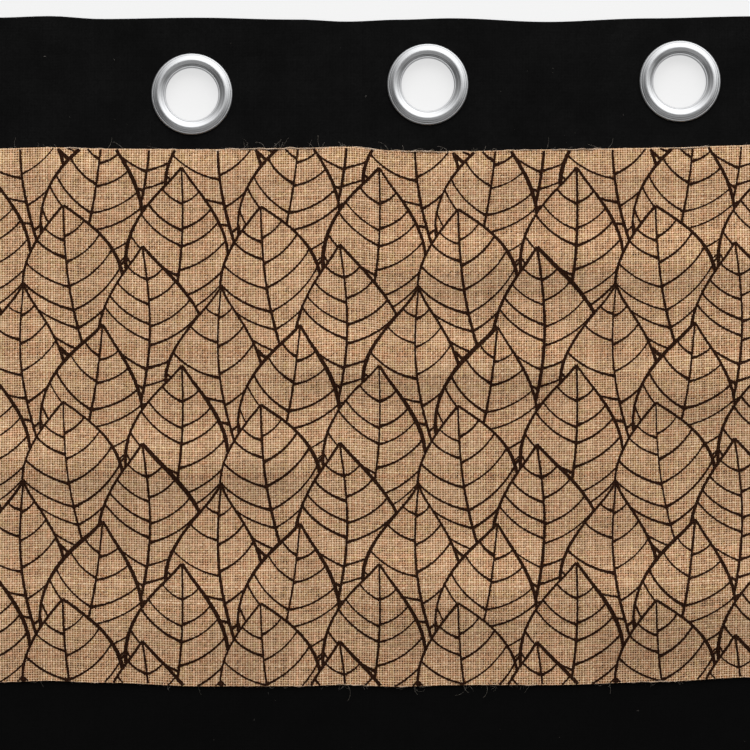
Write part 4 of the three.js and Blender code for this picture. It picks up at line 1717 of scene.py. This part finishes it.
@dataclass
class Studio:
    """The pale floor and backdrop, the soft lights and the camera."""

    floor_gap: float = 45.0
    floor_half_width: float = 45000.0
    camera_distance: float = 2500.0
    sensor: float = 36.0
    backdrop_half_width: float = 1300.0
    backdrop_top: float = 900.0
    near_backdrop: float = 6.0
    far_backdrop: float = 60.0

    @property
    def floor_z(self) -> float:
        """The floor's height."""
        return float(CAD_BOX[0][2]) / MM - self.floor_gap

    def pale_surface(self, name: str, colour: str, glow: float = 0.0) -> bpy.types.Material:
        """Makes matte pale paint, or a paper lit from behind, which is clear as seen from there.

        Args:
            name: The material's name.
            colour: Its sRGB hex colour.
            glow: How bright the light through it is, or 0 for paint.

        Returns:
            The material.
        """
        material, tree = new_material(name)
        surface = tree.add(
            "BsdfPrincipled",
            {
                "Base Color": srgb(colour),
                "Roughness": 0.9,
                "Specular IOR Level": 0.1,
                "Emission Color": (1.0, 1.0, 1.0, 1.0),
                "Emission Strength": glow,
            },
        )
        if glow > 0.0:
            behind = tree.add("NewGeometry", out="Backfacing")
            clear = tree.add("BsdfTransparent")
            surface = tree.add("MixShader", {0: behind, 1: surface, 2: clear})
        tree.add("OutputMaterial", {"Surface": surface})
        return material

    def stage_sheet(self, name: str, points: np.ndarray, faces: np.ndarray, material: bpy.types.Material):
        """Makes one stage surface."""
        parts = MeshParts()
        parts.add(points, faces, points[:, :2])
        piece = parts.make(name, material)
        return piece

    def build_stage(self) -> None:
        """Makes the floor and the backdrop, which eases back from the heading to the floor."""
        half = self.floor_half_width
        z = self.floor_z
        corners = np.array([(-half, -half, z), (half, -half, z), (half, half, z), (-half, half, z)])
        paint = self.pale_surface("floor_paint", "#E6E4E1")
        floor = self.stage_sheet("studio_floor", corners, np.array([[0, 1, 2, 3]]), paint)
        floor.visible_glossy = False
        floor.visible_diffuse = False
        heights = np.concatenate([spread(self.backdrop_top, -480.0, 60.0), spread(-480.0, z, 60.0)[1:]])
        depth = mix(self.near_backdrop, self.far_backdrop, ease(480.0, 1500.0, -heights))
        rows = []
        for x in (-self.backdrop_half_width, self.backdrop_half_width):
            rows.append(np.stack([np.full(len(heights), x), depth, heights], axis=-1))
        count = len(heights)
        low = np.arange(count - 1)
        faces = np.stack([low, low + 1, low + 1 + count, low + count], axis=-1)
        paper = self.pale_surface("backdrop_paper", "#808080", glow=0.64)
        backdrop = self.stage_sheet("studio_backdrop", np.concatenate(rows), faces, paper)
        backdrop.visible_diffuse = False
        backdrop.visible_shadow = False

    def area_light(
        self,
        name: str,
        place_at: tuple[float, float, float],
        aim: tuple[float, float, float],
        size: tuple[float, float],
        power: float,
        card: bool = False,
    ) -> None:
        """Adds one soft light, or a white card that only shows in the metal.

        Args:
            name: Its name.
            place_at: Where it stands, in metres.
            aim: The point that it faces.
            size: Its width and height, in metres.
            power: Its power in watts.
            card: Whether it is a card.
        """
        light = bpy.data.lights.new(name, "AREA")
        light.shape = "RECTANGLE"
        light.size, light.size_y = size
        light.energy = power
        lamp = bpy.data.objects.new(name, light)
        lamp.location = place_at
        lamp.rotation_euler = (Vector(aim) - Vector(place_at)).to_track_quat("-Z", "Y").to_euler()
        lamp.visible_glossy = card
        lamp.visible_diffuse = not card
        bpy.context.scene.collection.objects.link(lamp)

    def build_lights(self) -> None:
        """Adds the key light above, two cards, and a pale room that is brightest above and right."""
        aim = (-0.128, 0.0, -0.2)
        self.area_light("key_light", (-0.05, -0.72, 0.85), aim, (1.8, 0.8), 15.6)
        self.area_light("low_card", (-0.1, -1.2, -0.95), aim, (2.2, 0.9), 2.2, card=True)
        self.area_light("right_card", (1.35, -1.1, 0.0), aim, (0.6, 1.3), 1.3, card=True)
        world = bpy.data.worlds.new("pale_room")
        bpy.context.scene.world = world
        tree = NodeTree(world)
        way = tree.add("TexCoord", out="Generated")
        up = tree.add("SeparateXYZ", {0: way}).node.outputs[2]
        behind = up.node.outputs[1]
        height = tree.add("Math", {0: behind, 1: -0.3, 2: up}, operation="MULTIPLY_ADD")
        share = tree.add("MapRange", {0: height, 1: -1.0, 2: 1.0})
        colour = tree.ramp(
            share, ((0.0, "#6A6A6A"), (0.45, "#8C8C8C"), (0.66, "#C0C0C0"), (0.82, "#F8F8F8"), (1.0, "#FFFFFF"))
        )
        toward = tree.add("VectorMath", {0: way, 1: (0.3, -0.6, 0.74)}, out="Value", operation="DOT_PRODUCT")
        glow = tree.add(
            "MapRange", {0: toward, 1: 0.35, 2: 1.0, 3: 0.45, 4: 2.0}, interpolation_type="SMOOTHSTEP"
        )
        background = tree.add("Background", {"Color": colour, "Strength": glow})
        tree.add("OutputWorld", {"Surface": background})

    def build_camera(self) -> None:
        """Adds the camera, square to the curtain, with the photo's frame."""
        data = bpy.data.cameras.new("front_view")
        data.sensor_width = self.sensor
        data.lens = self.sensor * self.camera_distance / VIEW_WIDTH
        data.clip_start = 0.05
        data.clip_end = 100.0
        camera = bpy.data.objects.new("front_view", data)
        camera.location = (VIEW_CENTRE_X * MM, -self.camera_distance * MM, VIEW_CENTRE_Z * MM)
        camera.rotation_euler = (math.pi / 2, 0.0, 0.0)
        bpy.context.scene.collection.objects.link(camera)
        bpy.context.scene.camera = camera
        settings = bpy.context.scene.view_settings
        settings.view_transform = "Standard"
        settings.look = "None"
        settings.exposure = 0.0
        settings.gamma = 1.0


def main() -> None:
    """Builds the curtain and its studio, in order."""
    logging.basicConfig(level=logging.INFO, format="%(name)s: %(message)s")
    studio = Studio()
    studio.build_camera()
    finishes = Finishes()
    CottonCloth(finishes).build()
    band = JuteBand(finishes)
    band.build()
    LeafPrint(finishes.ink).build(band.front)
    EyeletRings(finishes.chrome).build()
    Lint(finishes.lint).build()
    studio.build_stage()
    studio.build_lights()


if __name__ == "__main__":
    main()
